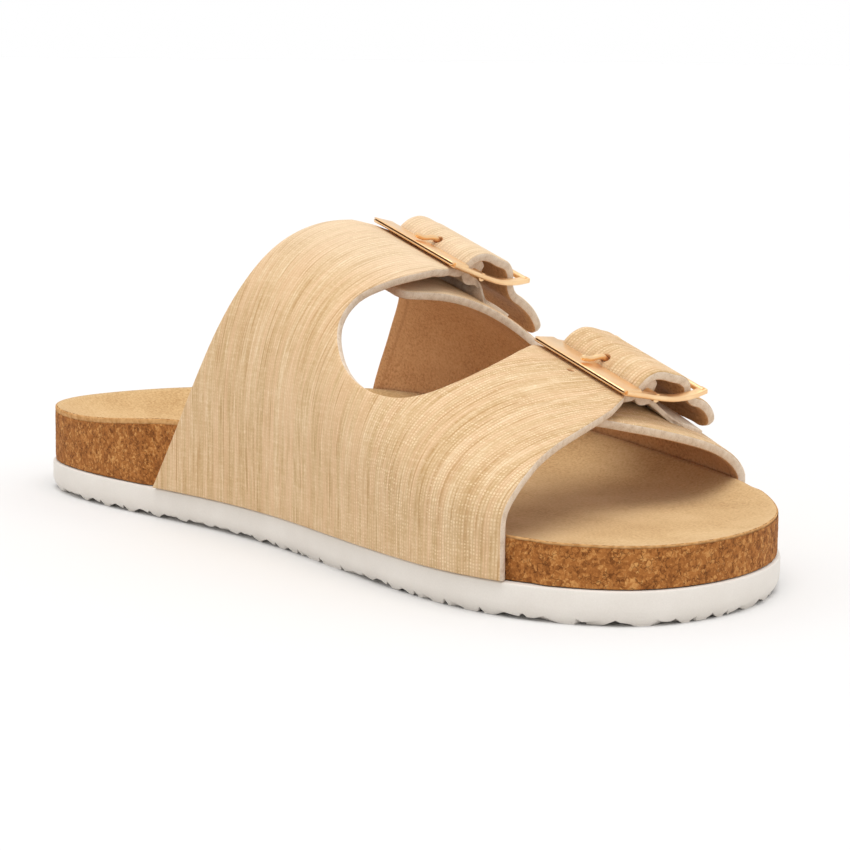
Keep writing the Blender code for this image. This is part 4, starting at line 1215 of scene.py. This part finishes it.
# painted shade for the plate's recess: a darker, duller, less metallic copy of the plating
recess_painted_shade = metal_material("buckle_recess_painted_shade", 0.2, (128, 80, 34), (152, 98, 46))

make_outsole([rubber_material()])
make_cork([cork_material()])
make_insole([footbed, burnished_material(), groove_material()])
make_upper([straw_material(), edge, lining])
for buckle in (REAR, FRONT):
    make_tab(buckle, [edge])
for buckle in (REAR, FRONT):
    make_buckle(buckle, [metal, recess_painted_shade])
    make_pin(buckle, [metal])

# Camera: the fitted place of the photograph, turned to the one shoe with a longer lens
CAMERA_AT = Vector((0.5186, -0.42881, 0.1199))
RIGHT = Vector((0.53609, 0.84413, -0.00738))
DOWN = Vector((0.09797, -0.07089, -0.99266))
FORWARD = Vector((-0.83845, 0.53144, -0.1207))
LOOK_PIXEL = (632.5, 449.0)
PHOTO_FOCAL = 1500.0
VIEW_FOCAL = 2700.0
IMAGE = 850.0
SENSOR = 36.0

aim = (FORWARD + RIGHT * (LOOK_PIXEL[0] - IMAGE / 2) / PHOTO_FOCAL
       + DOWN * (LOOK_PIXEL[1] - IMAGE / 2) / PHOTO_FOCAL).normalized()
turn = FORWARD.rotation_difference(aim).to_matrix()
axes = [turn @ RIGHT, turn @ -DOWN, turn @ -FORWARD]
camera = bpy.data.objects.new("camera", bpy.data.cameras.new("camera"))
camera.data.sensor_width = SENSOR
camera.data.lens = VIEW_FOCAL / IMAGE * SENSOR
camera.data.clip_start = 0.01
camera.data.clip_end = 200.0
camera.matrix_world = Matrix.Translation(CAMERA_AT) @ Matrix(axes).transposed().to_4x4()
scene = bpy.context.scene
scene.collection.objects.link(camera)
scene.camera = camera

# Light: a broad soft one from above, and a pale room that is a little darker at its middle height
SKY_STOPS = ((0.05, 1.0), (0.14, 0.86), (0.5, 0.9), (1.0, 1.0))
sun = bpy.data.objects.new("soft_top_light", bpy.data.lights.new("soft_top_light", "SUN"))
sun.data.energy = 1.55
sun.data.angle = math.radians(50.0)
sun.rotation_euler = Vector((-0.15, 0.12, -0.98)).to_track_quat("-Z", "Y").to_euler()
scene.collection.objects.link(sun)

world = bpy.data.worlds.new("studio")
world.use_nodes = True
sky = world.node_tree
up = sky.nodes.new("ShaderNodeSeparateXYZ")
sky.links.new(sky.nodes.new("ShaderNodeTexCoord").outputs["Generated"], up.inputs[0])
tone = sky.nodes.new("ShaderNodeValToRGB")
sky.links.new(up.outputs[2], tone.inputs[0])
set_stops(tone.color_ramp, [(at, (grey, grey, grey, 1.0)) for at, grey in SKY_STOPS])
sky.links.new(tone.outputs[0], sky.nodes["Background"].inputs[0])
sky.nodes["Background"].inputs[1].default_value = 1.0
scene.world = world
scene.view_settings.view_transform = "Standard"

# Floor
FLOOR_HALF = 30.0
paper = Paint("floor_paper", 0.9)
tone = paper.noise(paper.place(), 0.02, 2.0)
floor_mat = paper.finish(paper.ramp(tone, (0.3, (220, 219, 218)), (0.7, (223, 222, 221))))
mesh = bpy.data.meshes.new("floor")
corners = [(x * FLOOR_HALF, y * FLOOR_HALF, 0.0) for x, y in ((-1, -1), (1, -1), (1, 1), (-1, 1))]
mesh.from_pydata(corners, [], [(0, 1, 2, 3)])
mesh.materials.append(floor_mat)
floor = bpy.data.objects.new("floor", mesh)
scene.collection.objects.link(floor)
